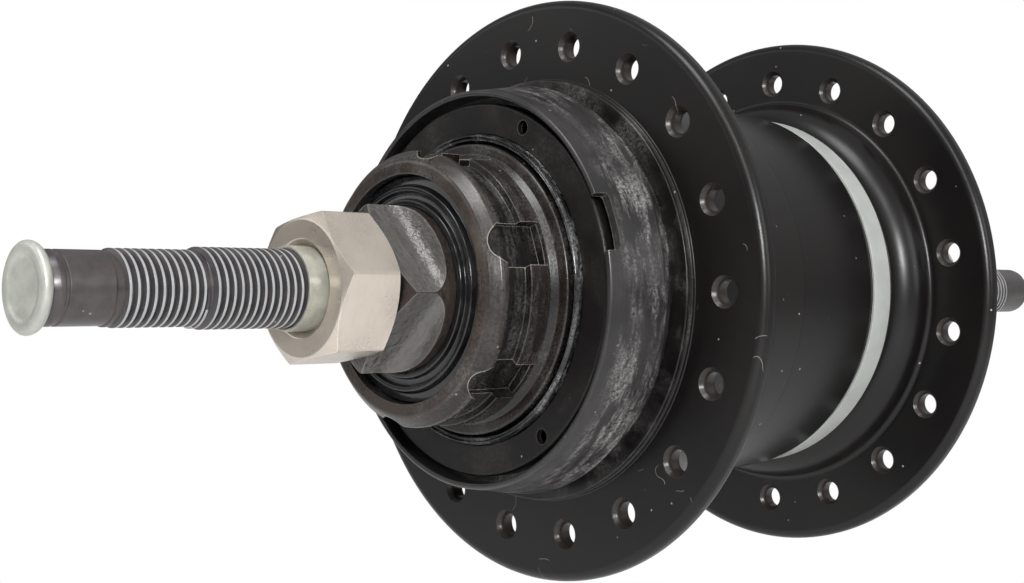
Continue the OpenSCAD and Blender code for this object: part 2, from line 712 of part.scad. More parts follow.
module left_cone() {
    cone_end = left_ball_at + left_ball_r + cup_lip / 2;
    track_r = left_ball_ring_r - left_ball_r - ball_fit;
    body_r = left_cone_d / 2;
    color([0.4, 0.39, 0.38]) hub_axis() difference() {
        intersection() {
            turned([[0, cone_end], [track_r, cone_end], [track_r, left_ball_at],
                [track_r + 1.4, left_ball_at], [track_r + 1.4, left_ball_at - left_ball_r - 0.6],
                [body_r, left_ball_at - left_ball_r - 0.6], [body_r, left_washer_back + 0.4],
                [body_r - 0.4, left_washer_back], [0, left_washer_back]]);
            union() {
                translate([0, 0, left_shell_end - left_cone_round]) {
                    cylinder(r = 2 * body_r, h = cone_end - left_shell_end + left_cone_round + 1, $fn = fine);
                }
                translate([-body_r - 1, -left_cone_af / 2, left_washer_back - 1]) {
                    cube([2 * body_r + 2, left_cone_af, left_shell_end - left_washer_back]);
                }
            }
        }
        ball_track(left_ball_ring_r, left_ball_at, left_ball_r + ball_fit);
        translate([0, 0, left_washer_back - 1]) {
            cylinder(r = thread_bore_r, h = cone_end - left_washer_back + 2, $fn = fine);
        }
    }
}

module left_washer() {
    color([0.7, 0.7, 0.68]) hub_axis() {
        ring(left_washer_d / 2, thread_bore_r, left_nut_back, left_washer_back);
    }
}

module left_locknut() {
    color([0.78, 0.74, 0.7]) hub_axis() {
        hex_nut(left_nut_af, left_nut_h, thread_bore_r, left_nut_face);
    }
}

// Gear selector inside the axle

module push_rod() {
    rod_end = axle_drive_end - 4 - 0.5;
    color([0.72, 0.72, 0.71]) hub_axis() {
        translate([0, 0, key_to]) cylinder(d = push_rod_d, h = rod_end - key_to, $fn = fine);
    }
}

module shift_key() {
    reach = clutch_hub_r - 1.2;
    color([0.66, 0.66, 0.64]) hub_axis() {
        translate([-reach, -key_w / 2, key_from]) cube([2 * reach, key_w, key_to - key_from]);
    }
}

// Driver: carries the sprocket and turns the sliding clutch

module driver() {
    track_r = cup_ball_r - ball_r - ball_fit;
    race_r = cone_ball_r + ball_r + ball_fit;
    floor_r = seat_r - seat_groove_depth;
    gap_floor_r = seat_r - 0.7;
    relief_r = seat_r + run_fit;
    lip_r = shoulder_r + cup_lip;
    lip_front = cup_ball_at + ball_r - side_gap / 2;
    race_back = cone_ball_at - ball_r - cup_lip / 2;
    notch_floor_r = seat_r - notch_depth;
    notch_top = driver_face - notch_margin - notch_w / 2;
    color([0.33, 0.3, 0.28]) hub_axis() difference() {
        turned([[recess_d / 2, driver_face], [seat_r - outer_ring_bevel, driver_face],
            [seat_r, driver_face - outer_ring_bevel], [seat_r, outer_ring_back], [floor_r, outer_ring_back],
            [floor_r, inner_ring_front], [seat_r, inner_ring_front], [seat_r, inner_ring_back],
            [gap_floor_r, inner_ring_back], [gap_floor_r, shoulder_at + relief_r - gap_floor_r],
            [relief_r, shoulder_at], [shoulder_r - 0.4, shoulder_at],
            [shoulder_r, shoulder_at - 0.4], [shoulder_r, lip_front], [lip_r, lip_front],
            [lip_r, cup_ball_at], [track_r, cup_ball_at], [track_r, shoulder_end],
            [skirt_r, shoulder_end], [skirt_r, driver_end],
            [skirt_bore_r, driver_end], [skirt_bore_r, race_back], [race_r - cup_lip, race_back],
            [race_r - cup_lip, cone_ball_at], [race_r, cone_ball_at], [race_r, recess_at],
            [recess_d / 2, recess_at]]);
        ball_track(cup_ball_r, cup_ball_at, ball_r + ball_fit);
        ball_track(cone_ball_r, cone_ball_at, ball_r + ball_fit);
        for (i = [0 : notches - 1]) {
            rotate([0, 0, notch_phase + i * 360 / notches]) translate([notch_floor_r, 0, 0]) {
                translate([0, 0, notch_top]) rotate([0, 90, 0]) cylinder(d = notch_w, h = seat_r, $fn = 48);
                translate([0, -notch_w / 2, inner_ring_back]) {
                    cube([seat_r, notch_w, notch_top - inner_ring_back]);
                }
            }
        }
        for (i = [0 : clutch_arms - 1]) {
            rotate([0, 0, i * 360 / clutch_arms]) {
                translate([0, -arm_w / 2 - side_gap, driver_end - 1]) {
                    cube([skirt_r + 1, arm_w + 2 * side_gap, clutch_to + side_gap - driver_end + 1]);
                }
            }
        }
    }
}

module sliding_clutch() {
    color([0.55, 0.54, 0.5]) hub_axis() difference() {
        union() {
            translate([0, 0, clutch_from]) cylinder(r = clutch_hub_r, h = clutch_t, $fn = fine);
            for (i = [0 : clutch_arms - 1]) {
                rotate([0, 0, i * 360 / clutch_arms]) {
                    translate([0, -arm_w / 2, clutch_from]) cube([arm_reach, arm_w, clutch_t]);
                }
            }
        }
        translate([0, 0, clutch_from - 1]) {
            cylinder(r = axle_mid_d / 2 + side_gap, h = clutch_t + 2, $fn = fine);
        }
    }
}

module ring_gear() {
    color([0.5, 0.49, 0.47]) hub_axis() difference() {
        union() {
            translate([0, 0, teeth_from]) cylinder(d = ring_d, h = drive_cam_from - teeth_from, $fn = fine);
            translate([0, 0, drive_cam_from]) {
                cylinder(r = drive_cam_corner_r, h = drive_cam_w, $fn = drive_rollers_n);
            }
        }
        translate([0, 0, teeth_from - 1]) linear_extrude(height = teeth_to - teeth_from + 2) {
            rotate([0, 0, 180 / ring_teeth]) {
                polygon(gear_outline(ring_teeth, ring_tip_r, ring_root_r, space_thick));
            }
        }
        translate([0, 0, teeth_to]) {
            cylinder(r = ring_root_r + 0.2, h = drive_cam_from - teeth_to, $fn = fine);
        }
        translate([0, 0, teeth_to]) cylinder(d = dog_bore, h = drive_cam_to - teeth_to + 1, $fn = fine);
        for (i = [0 : dogs - 1]) {
            rotate([0, 0, i * 360 / dogs]) {
                translate([0, -arm_w / 2 - side_gap, drive_cam_from - 1]) {
                    cube([dog_slot_r, arm_w + 2 * side_gap, drive_cam_w + 2]);
                }
            }
        }
    }
}

module drive_clutch_rollers() {
    color([0.75, 0.75, 0.74]) hub_axis() {
        roller_set(drive_rollers_n, drive_roller_ring_r, drive_cam_from, drive_cam_w, drive_roller_d, 0);
    }
}

module drive_roller_cage() {
    color([0.62, 0.55, 0.36]) hub_axis() difference() {
        ring(drive_race_r - side_gap, drive_cam_corner_r + end_play, drive_cam_from + end_play,
            drive_cam_to);
        roller_set(drive_rollers_n, drive_roller_ring_r, drive_cam_from, drive_cam_w, drive_roller_d,
            ball_fit);
    }
}

// Planet carrier with the low gear clutch on its back

// Two crossed bars that make the four keys, or their slots with a clearance
module cam_keys(clearance, height) {
    reach = carrier_hub_d / 2 + cam_key_h + clearance;
    half_w = cam_key_w / 2 + clearance;
    for (a = [0, 90]) {
        rotate([0, 0, a]) translate([-reach, -half_w, 0]) cube([2 * reach, 2 * half_w, height]);
    }
}

module planet_carrier() {
    color([0.58, 0.57, 0.55]) hub_axis() difference() {
        union() {
            translate([0, 0, carrier_back]) cylinder(d = carrier_d, h = carrier_t, $fn = fine);
            translate([0, 0, carrier_end]) {
                cylinder(d = carrier_hub_d, h = carrier_back - carrier_end, $fn = fine);
            }
            translate([0, 0, low_cam_from]) cam_keys(0, low_cam_w);
            spread(planets, pillar_pcd / 2, 180 / planets) {
                translate([0, 0, carrier_top]) cylinder(d = pillar_d, h = plate_from - carrier_top, $fn = 48);
            }
        }
        translate([0, 0, carrier_end - 1]) {
            cylinder(r = axle_mid_d / 2 + run_fit, h = carrier_top - carrier_end + 2, $fn = fine);
        }
        translate([0, 0, teeth_from - side_gap]) {
            cylinder(r = sun_tip_r + 2 * side_gap, h = carrier_t, $fn = fine);
        }
        spread(planets, centre_distance, 0) {
            translate([0, 0, carrier_back - 1]) {
                cylinder(r = planet_pin_d / 2 + seat_fit, h = carrier_t + 2, $fn = 48);
            }
        }
    }
}

module carrier_plate() {
    color([0.6, 0.59, 0.57]) hub_axis() difference() {
        ring(carrier_d / 2, clutch_hub_r, plate_from, plate_to);
        spread(planets, centre_distance, 0) {
            translate([0, 0, plate_from - 1]) {
                cylinder(r = planet_pin_d / 2 + seat_fit, h = carrier_plate_t + 2, $fn = 48);
            }
        }
    }
}

module planet_pins() {
    color([0.74, 0.74, 0.73]) hub_axis() spread(planets, centre_distance, 0) {
        translate([0, 0, carrier_back]) cylinder(d = planet_pin_d, h = plate_to - carrier_back, $fn = 48);
    }
}

module low_clutch_cam() {
    color([0.52, 0.51, 0.5]) hub_axis() difference() {
        translate([0, 0, low_cam_from]) cylinder(r = low_cam_corner_r, h = low_cam_w, $fn = low_rollers_n);
        translate([0, 0, low_cam_from - 1]) {
            cylinder(r = carrier_hub_d / 2 + seat_fit, h = low_cam_w + 2, $fn = fine);
        }
        translate([0, 0, low_cam_from - 1]) cam_keys(seat_fit, low_cam_w + 2);
    }
}

module low_clutch_rollers() {
    color([0.75, 0.75, 0.74]) hub_axis() {
        roller_set(low_rollers_n, low_roller_ring_r, low_cam_from, low_cam_w, low_roller_d, 0);
    }
}

module low_roller_cage() {
    color([0.62, 0.55, 0.36]) hub_axis() difference() {
        ring(low_race_bore / 2 - side_gap, low_cam_corner_r + end_play, low_cam_from,
            carrier_back - end_play);
        roller_set(low_rollers_n, low_roller_ring_r, low_cam_from, low_cam_w, low_roller_d, ball_fit);
    }
}

module cage_spring() {
    color([0.6, 0.6, 0.6]) hub_axis() difference() {
        ring(carrier_hub_d / 2 + 1.6, carrier_hub_d / 2 + seat_fit, low_cam_from - cage_spring_t,
            low_cam_from);
        translate([0, -1.5, low_cam_from - cage_spring_t - 1]) cube([carrier_hub_d, 3, cage_spring_t + 2]);
    }
}

module planet_gear(index) {
    orbit = index * 360 / planets;
    spin = orbit * (1 + sun_teeth / planet_teeth) + 180 + 180 / planet_teeth;
    color([0.64, 0.63, 0.6]) hub_axis() rotate([0, 0, orbit]) translate([centre_distance, 0, 0]) {
        rotate([0, 0, spin - orbit]) {
            outer_gear(planet_teeth, planet_pin_d / 2 + run_fit, planet_from, planet_to);
        }
    }
}

module planet_gear_1() {
    planet_gear(0);
}

module planet_gear_2() {
    planet_gear(1);
}

module planet_gear_3() {
    planet_gear(2);
}

module planet_gear_4() {
    planet_gear(3);
}

// Hub shell and everything that turns with it

// Half of a flange's outline, from its root on the left side round the rim to its root on the right
function flange_outline(left, right) =
    concat(arc(flange_d / 2 - flange_rim_r, left + flange_rim_r, flange_rim_r, -90, 0),
        arc(flange_d / 2 - flange_rim_r, right - flange_rim_r, flange_rim_r, 0, 90));

module spoke_hole_ring(from, phase) {
    sink = (spoke_sink_d - spoke_hole_d) / 2;
    hole_r = spoke_hole_d / 2;
    spread(spoke_holes, spoke_pcd / 2, phase) {
        translate([0, 0, from - 1]) cylinder(r = hole_r, h = flange_t + 2, $fn = 32);
        translate([0, 0, from - 1]) cylinder(r1 = hole_r + sink + 1, r2 = hole_r, h = sink + 1, $fn = 32);
        translate([0, 0, from + flange_t - sink]) {
            cylinder(r1 = hole_r, r2 = hole_r + sink + 1, h = sink + 1, $fn = 32);
        }
    }
}

module hub_shell() {
    band_seat_r = band_seat_d / 2;
    roll_r = roll_d / 2;
    left_cup_r = left_cup_d / 2;
    collar_end = drive_back - collar_l;
    band_from = left_back + band_gap;
    band_to = band_from + band_w;
    barrel_from = band_to + 1;
    barrel_mid = (barrel_from + collar_end) / 2;
    roll_tube = 2.6;
    liner_r = barrel_bore_r - shell_step;
    left_hole_r = left_cup_r - left_cup_step;
    left_wall = left_face + left_wall_t;
    color([0.19, 0.18, 0.175]) hub_axis() difference() {
        turned(concat(
            [[left_cup_r, left_shell_end], [left_boss_d / 2 - 0.6, left_shell_end],
                [left_boss_d / 2, left_shell_end + 0.6], [left_boss_d / 2, left_face - 3],
                [left_boss_d / 2 + 3, left_face]],
            flange_outline(left_face, left_back),
            [[roll_r, left_back]],
            arc(roll_r - roll_tube, left_back + 1.2, roll_tube, 20, 80),
            [[band_seat_r, band_from - 0.6], [band_seat_r, band_to + 0.4]],
            arc(barrel_r - 1.2, barrel_from + 1.2, 1.2, -60, 0),
            [[barrel_r + barrel_crown, barrel_mid], [barrel_r, collar_end], [collar_r - 0.2, collar_end],
                [collar_r, collar_end + 0.2], [collar_r, drive_back - cove_r]],
            arc(collar_r + cove_r, drive_back - cove_r, cove_r, 180, 90),
            flange_outline(drive_back, drive_face),
            [[boss_r, drive_face], [boss_r, boss_face - 0.3], [boss_r - 0.3, boss_face],
                [cup_seat_r, boss_face], [cup_seat_r, race_step], [barrel_bore_r, race_step],
                [barrel_bore_r, race_left], [liner_r, race_left], [liner_r, left_wall],
                [left_hole_r, left_wall], [left_hole_r, left_cup_seat], [left_cup_r, left_cup_seat]]));
        spoke_hole_ring(drive_back, spoke_phase);
        spoke_hole_ring(left_face, spoke_phase + 180 / spoke_holes);
    }
}

module shell_band() {
    band_from = left_back + band_gap;
    band_seat_r = band_seat_d / 2;
    color([0.7, 0.71, 0.69]) hub_axis() {
        ring(band_seat_r + band_t, band_seat_r + seat_fit, band_from, band_from + band_w);
    }
}

module drive_clutch_race() {
    color([0.66, 0.65, 0.63]) hub_axis() {
        ring(cup_seat_r - seat_fit, drive_race_r, race_step, cup_inner_end);
    }
}

module low_clutch_race() {
    color([0.66, 0.65, 0.63]) hub_axis() {
        ring(barrel_bore_r - seat_fit, low_race_bore / 2, race_left, carrier_back);
    }
}

module drive_ball_cup() {
    lip_r = cup_track_r - cup_lip;
    neck_r = cup_seat_r - seat_fit;
    groove_at = rim_face - rim_groove_depth;
    wide_back = drive_face + cup_back;
    color([0.2, 0.19, 0.18]) hub_axis() difference() {
        turned([[neck_r, cup_inner_end], [neck_r, wide_back], [cup_side_r - 0.3, wide_back],
            [cup_side_r, wide_back + 0.3], [rim_r + 0.1, rim_face - 0.4], [rim_r - 0.1, rim_face],
            [rim_r - rim_t, rim_face], [rim_r - rim_t, groove_at], [groove_floor_r, groove_at],
            [cup_track_r, cup_ball_at + ball_r + 0.2], [cup_track_r, cup_ball_at], [lip_r, cup_ball_at],
            [lip_r, cup_inner_end]]);
        ball_track(cup_ball_r, cup_ball_at, ball_r + ball_fit);
        for (a = [0, 180]) {
            rotate([0, 0, rim_notch_phase + a - rim_notch_arc / 2]) {
                translate([0, 0, rim_face - rim_notch_depth]) {
                    rotate_extrude(angle = rim_notch_arc, $fn = fine) {
                        translate([dust_cap_r + side_gap, 0]) square([2 * rim_r, rim_notch_depth + 1]);
                    }
                }
            }
        }
    }
}

module drive_dust_cap() {
    face = rim_face - dust_cap_sink;
    back = face - dust_cap_t;
    skirt_back = rim_face - rim_groove_depth;
    skirt_inner_r = dust_cap_r - dust_cap_t;
    inner_r = seal_r + seat_fit;
    color([0.23, 0.21, 0.2]) hub_axis() difference() {
        turned([[inner_r, back], [skirt_inner_r, back], [skirt_inner_r, skirt_back - 0.75 * dust_cap_t],
            [dust_cap_r, skirt_back], [dust_cap_r, face - dust_cap_t / 2],
            [dust_cap_r - dust_cap_t / 2, face], [inner_r, face]]);
        spread(dust_cap_holes, dust_cap_r - dust_hole_margin - dust_hole_d / 2, dust_hole_phase) {
            translate([0, 0, back - dust_cap_t]) cylinder(d = dust_hole_d, h = 3 * dust_cap_t, $fn = 32);
        }
    }
}

module drive_seal() {
    face = rim_face - dust_cap_sink;
    back = face - seal_depth;
    color([0.13, 0.13, 0.13]) hub_axis() turned([[seal_bore_r, back], [seal_r, back],
        [seal_r, face + 0.5 * seal_lip], [seal_r - 0.3 * seal_w, face + seal_lip],
        [seal_r - 0.6 * seal_w, face + 0.5 * seal_lip], [seal_bore_r + 0.2 * seal_w, face + 0.7 * seal_lip],
        [seal_bore_r, face + 0.3 * seal_lip]]);
}

module left_ball_cup() {
    track_r = left_ball_ring_r + left_ball_r + ball_fit;
    outer_r = left_cup_d / 2 - seat_fit;
    color([0.55, 0.54, 0.52]) hub_axis() difference() {
        turned([[outer_r, left_cup_seat], [outer_r, left_cup_end], [track_r, left_cup_end],
            [track_r, left_ball_at], [track_r - cup_lip, left_ball_at], [track_r - cup_lip, left_cup_seat]]);
        ball_track(left_ball_ring_r, left_ball_at, left_ball_r + ball_fit);
    }
}

module left_dust_cap() {
    outer_r = left_cup_d / 2 - seat_fit;
    inner_r = left_cone_d / 2 + side_gap;
    front = left_shell_end + left_cap_t / 5;
    color([0.3, 0.29, 0.28]) hub_axis() {
        turned([[inner_r, front], [outer_r - left_cap_t, front], [outer_r, front + left_cap_t / 2],
            [outer_r, left_cup_end], [outer_r - left_cap_t, left_cup_end],
            [outer_r - left_cap_t, front + left_cap_t], [inner_r, front + left_cap_t]]);
    }
}

// Ball sets and the cages that space them

module cone_bearing_balls() {
    color([0.8, 0.8, 0.8]) hub_axis() ball_set(cone_balls, cone_ball_r, cone_ball_at, ball_r);
}

module cone_ball_cage() {
    color([0.6, 0.52, 0.34]) hub_axis() ball_cage(cone_balls, cone_ball_r, cone_ball_at, ball_r);
}

module cup_bearing_balls() {
    color([0.8, 0.8, 0.8]) hub_axis() ball_set(cup_balls_n, cup_ball_r, cup_ball_at, ball_r);
}

module cup_ball_cage() {
    color([0.6, 0.52, 0.34]) hub_axis() ball_cage(cup_balls_n, cup_ball_r, cup_ball_at, ball_r);
}

module left_bearing_balls() {
    color([0.8, 0.8, 0.8]) hub_axis() ball_set(left_balls_n, left_ball_ring_r, left_ball_at, left_ball_r);
}

module left_ball_cage() {
    color([0.6, 0.52, 0.34]) hub_axis() ball_cage(left_balls_n, left_ball_ring_r, left_ball_at, left_ball_r);
}

axle();
axle_end_cap();
locknut_sleeve();
drive_locknut();
drive_cone();
cone_seal();
sun_gear();
spring_washer();
clutch_spring();
thrust_washer();
axle_circlip();
left_cone();
left_washer();
left_locknut();
push_rod();
shift_key();
driver();
sliding_clutch();
ring_gear();
drive_clutch_rollers();
drive_roller_cage();
planet_carrier();
carrier_plate();
planet_pins();
low_clutch_cam();
low_clutch_rollers();
low_roller_cage();
cage_spring();
planet_gear_1();
planet_gear_2();
planet_gear_3();
planet_gear_4();
hub_shell();
shell_band();
drive_clutch_race();
low_clutch_race();
drive_ball_cup();
drive_dust_cap();
drive_seal();
left_ball_cup();
left_dust_cap();
cone_bearing_balls();
cone_ball_cage();
cup_bearing_balls();
cup_ball_cage();
left_bearing_balls();
left_ball_cage();
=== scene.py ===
import math

import bmesh
import bpy
from mathutils import Matrix, Vector


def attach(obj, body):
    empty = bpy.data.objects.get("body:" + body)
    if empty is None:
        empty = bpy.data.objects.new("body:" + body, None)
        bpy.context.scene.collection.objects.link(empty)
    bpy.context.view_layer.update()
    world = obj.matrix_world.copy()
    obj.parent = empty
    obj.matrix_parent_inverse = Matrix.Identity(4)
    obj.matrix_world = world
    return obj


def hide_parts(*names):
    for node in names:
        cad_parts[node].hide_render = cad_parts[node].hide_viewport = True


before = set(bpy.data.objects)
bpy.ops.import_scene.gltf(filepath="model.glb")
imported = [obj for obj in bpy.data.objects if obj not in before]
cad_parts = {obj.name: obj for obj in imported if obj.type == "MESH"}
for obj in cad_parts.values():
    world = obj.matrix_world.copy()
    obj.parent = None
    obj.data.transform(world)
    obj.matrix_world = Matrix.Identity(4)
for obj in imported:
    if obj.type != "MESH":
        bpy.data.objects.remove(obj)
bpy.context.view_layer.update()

# Camera. The picture looks at the drive side from the right, level with the axle, through a
# medium long lens, and is cropped a little off the lens's own middle.

eye = bpy.data.cameras.new("eye")
eye.lens = 54.596
eye.sensor_width = 36.0
eye.shift_x = -0.09387
eye.shift_y = -0.04786
eye.clip_start = 0.01
camera = bpy.data.objects.new("eye", eye)
camera.location = (0.155027, -0.174315, 0.006758)
camera.rotation_euler = (math.radians(90), math.radians(-1.9734), math.radians(43.9939))
bpy.context.scene.collection.objects.link(camera)
bpy.context.scene.camera = camera
bpy.context.scene.view_settings.view_transform = "Standard"

# Studio. The hub hangs in a pale room over a white floor. The room is brightest on the right
# and above; five soft lamps put the highlights on the rolls, the rims and the flange tops.

MM = 0.001


def ink(red, green, blue):
    """A colour read as 0 to 255 screen values, as the linear values that a shader takes."""
    levels = []
    for level in (red, green, blue):
        level /= 255
        levels.append(level / 12.92 if level <= 0.04045 else ((level + 0.055) / 1.055) ** 2.4)
    return (*levels, 1.0)


class Flow:
    """One output of a node, with Python's operators as Math nodes."""

    def __init__(self, paint, socket):
        self.paint = paint
        self.socket = socket

    def math(self, operation, *values):
        return self.paint.node("Math", {"operation": operation}, dict(enumerate(values)))

    def __add__(self, other):
        return self.math("ADD", self, other)

    def __sub__(self, other):
        return self.math("SUBTRACT", self, other)

    def __rsub__(self, other):
        return self.math("SUBTRACT", other, self)

    def __mul__(self, other):
        return self.math("MULTIPLY", self, other)

    def __pow__(self, other):
        return self.math("POWER", self, other)

    def __abs__(self):
        return self.math("ABSOLUTE", self)

    __radd__ = __add__
    __rmul__ = __mul__

    def between(self, low, high):
        """0 below low, 1 above high and a smooth step between them."""
        return self.paint.node("MapRange", {"interpolation_type": "SMOOTHSTEP"},
                               {"Value": self, "From Min": low, "From Max": high})


class Paint:
    """A material or world under construction."""

    def __init__(self, owner):
        owner.use_nodes = True
        self.owner = owner
        self.tree = owner.node_tree
        self.tree.nodes.clear()

    def node(self, kind, settings=None, values=None, output=0):
        made = self.tree.nodes.new("ShaderNode" + kind)
        for name, value in (settings or {}).items():
            setattr(made, name, value)
        for name, value in (values or {}).items():
            if isinstance(value, Flow):
                self.tree.links.new(value.socket, made.inputs[name])
            else:
                made.inputs[name].default_value = value
        return Flow(self, made.outputs[output])

    def mix(self, factor, low, high):
        return self.node("Mix", {"data_type": "RGBA"}, {0: factor, 6: low, 7: high}, 2)

    def shade(self, shader):
        """Sends the shader to the surface and hands back the material."""
        ends = {"WORLD": "OutputWorld"}.get(self.owner.id_type, "OutputMaterial")
        end = self.tree.nodes.new("ShaderNode" + ends)
        self.tree.links.new(shader.socket, end.inputs["Surface"])
        return self.owner

    def seen(self, *ways):
        """1 for the named rays of Light Path and 0 for all others."""
        whole = 0.0
        for way in ways:
            whole = self.node("LightPath", None, None, way) + whole
        return self.node("Clamp", None, {"Value": whole})

    def noise(self, where, scale, detail=3.0, rough=0.55):
        return self.node("TexNoise", None, {"Vector": where, "Scale": scale, "Detail": detail,
                                            "Roughness": rough})


FLOOR_AT = -0.16

floor_form = bmesh.new()
bmesh.ops.create_grid(floor_form, x_segments=1, y_segments=1, size=3.0)
bmesh.ops.translate(floor_form, verts=floor_form.verts, vec=(0, 0, FLOOR_AT))
floor_mesh = bpy.data.meshes.new("floor")
floor_form.to_mesh(floor_mesh)
floor_form.free()
floor = bpy.data.objects.new("floor", floor_mesh)
bpy.context.scene.collection.objects.link(floor)
paint = Paint(bpy.data.materials.new("floor_white"))
matte = paint.node("BsdfDiffuse", None, {"Color": ink(235, 235, 235)})
glow = paint.node("Emission", None, {"Strength": 1.0})
floor_mesh.materials.append(paint.shade(paint.node("MixShader", None, {
    0: paint.seen("Is Camera Ray"), 1: matte, 2: glow})))

# The room's light comes mostly from the right and above.
LIT_SIDE = (0.78, 0.20, 0.60)
paint = Paint(bpy.context.scene.world or bpy.data.worlds.new("room"))
bpy.context.scene.world = paint.owner
way = paint.node("TexCoord", None, None, "Generated")
facing = paint.node("VectorMath", {"operation": "DOT_PRODUCT"}, {0: way, 1: LIT_SIDE}, "Value")
height = paint.node("SeparateXYZ", None, {"Vector": way}, "Z")
room_light = facing.between(-0.5, 0.8) * 0.36 + height.between(0.0, 0.6) * 0.26 + 0.03
camera_ray = paint.seen("Is Camera Ray")
strength = room_light * (1.0 - camera_ray) + camera_ray
paint.shade(paint.node("Background", None, {"Color": (1.0, 1.0, 1.0, 1.0), "Strength": strength}))


def lamp(name, place, aim, width, height, power):
    light = bpy.data.lights.new(name, "AREA")
    light.shape = "RECTANGLE"
    light.size, light.size_y = width, height
    light.energy = power
    made = bpy.data.objects.new(name, light)
    made.location = place
    made.rotation_euler = (Vector(aim) - Vector(place)).to_track_quat("-Z", "Y").to_euler()
    bpy.context.scene.collection.objects.link(made)


lamp("lamp_above", (0.05, -0.42, 0.72), (0, -0.02, 0), 0.34, 0.34, 3.6)
lamp("lamp_right", (0.85, 0.15, 0.30), (0, 0, 0), 0.3, 0.5, 1.6)
lamp("lamp_front", (0.70, -0.52, 0.28), (0, 0, 0), 0.10, 0.15, 6.8)
lamp("lamp_high_right", (0.47, -0.55, 0.66), (0, 0.01, 0), 0.22, 0.12, 1.2)
lamp("lamp_left", (-0.60, -0.70, 0.36), (0, -0.02, 0), 0.80, 0.45, 1.3)

# Hub shell. One cast and turned body with two spoke flanges, eighteen countersunk holes in each,
# painted satin black. The drive side is bored out for the ball cup, which screws into it.

ROUND_STEPS = 192      # faces round a turned piece
ARC_STEPS = 4          # and across a rounded corner, three times as many on a large one
SHARP = math.radians(30)


def piece(name, form):
    """A finished object from a bmesh, smooth but for its sharp edges."""
    bmesh.ops.remove_doubles(form, verts=form.verts, dist=1e-6)
    bmesh.ops.recalc_face_normals(form, faces=form.faces)
    mesh = bpy.data.meshes.new(name)
    form.to_mesh(mesh)
    form.free()
    mesh.shade_smooth()
    mesh.set_sharp_from_angle(angle=SHARP)
    made = bpy.data.objects.new(name, mesh)
    bpy.context.scene.collection.objects.link(made)
    return made


def lathe(form, outline, steps=ROUND_STEPS):
    """Spins an outline of (radius, station, rounding) in millimetres round the axle. Stations
    count from the middle of the hub towards the drive side, which is -Y."""
    corners = [form.verts.new((r * MM, -s * MM, 0)) for r, s, *_ in outline]
    form.faces.new(corners)
    rounding = [(row[2] if len(row) > 2 else 0) for row in outline]
    for size in sorted(set(rounding) - {0}):
        chosen = [v for v, own in zip(corners, rounding) if own == size]
        bmesh.ops.bevel(form, geom=chosen, offset=size * MM, affect="VERTICES",
                        segments=ARC_STEPS if size < 1 else 3 * ARC_STEPS, profile=0.5,
                        material=-1)
    rim, edges = form.verts[:], form.edges[:]
    bmesh.ops.delete(form, geom=form.faces[:], context="FACES_ONLY")
    bmesh.ops.spin(form, geom=rim + edges, cent=(0, 0, 0), axis=(0, 1, 0), dvec=(0, 0, 0),
                   angle=math.tau, steps=steps, use_merge=True, use_duplicate=False)
    return form


def join(whole, part):
    """Adds one bmesh to another and frees it."""
    mesh = bpy.data.meshes.new("part")
    part.to_mesh(mesh)
    part.free()
    whole.from_mesh(mesh)
    bpy.data.meshes.remove(mesh)


def turned(name, outline, steps=ROUND_STEPS):
    return piece(name, lathe(bmesh.new(), outline, steps))


def around(degrees):
    """A turn round the axle, counted from +X towards +Z as in the part's source."""
    return Matrix.Rotation(math.radians(-degrees), 4, "Y")


def carve(body, form, operation="DIFFERENCE"):
    """Cuts a bmesh from a piece, or keeps only what both hold."""
    tool = piece(body.name + ".tool", form)
    cut = body.modifiers.new("cut", "BOOLEAN")
    cut.object, cut.operation, cut.solver = tool, operation, "EXACT"
    bpy.context.view_layer.update()
    seen = body.evaluated_get(bpy.context.evaluated_depsgraph_get())
    cut_mesh = bpy.data.meshes.new_from_object(seen)
    body.modifiers.clear()
    body.data = cut_mesh
    cut_mesh.name = body.name
    cut_mesh.shade_smooth()
    cut_mesh.set_sharp_from_angle(angle=SHARP)
    bpy.data.objects.remove(tool)
    return body


def block(form, size, centre, matrix=None, round_by=0.0):
    """A box of x, station and y sizes about a centre, in millimetres, turned by the matrix."""
    made = bmesh.ops.create_cube(form, size=1.0)["verts"]
    bmesh.ops.scale(form, vec=[side * MM for side in size], verts=made)
    bmesh.ops.translate(form, vec=(centre[0] * MM, -centre[1] * MM, centre[2] * MM), verts=made)
    if round_by:
        edges = list(dict.fromkeys(e for v in made for e in v.link_edges))
        made = bmesh.ops.bevel(form, geom=edges, offset=round_by * MM, affect="EDGES", segments=3,
                               profile=0.5, material=-1)["verts"]
    if matrix is not None:
        bmesh.ops.transform(form, matrix=matrix, verts=made)
    return form


FLANGE_R = 39.7
RIM_ROUND = 1.3
DRIVE_FACE, DRIVE_BACK = 27.5, 24.5
LEFT_FACE, LEFT_BACK = -27.5, -24.5
BARREL_R = 27.2
SPOKES = 18
SPOKE_RING_R = 33.35
SPOKE_R = 1.45
SINK_R = 2.05

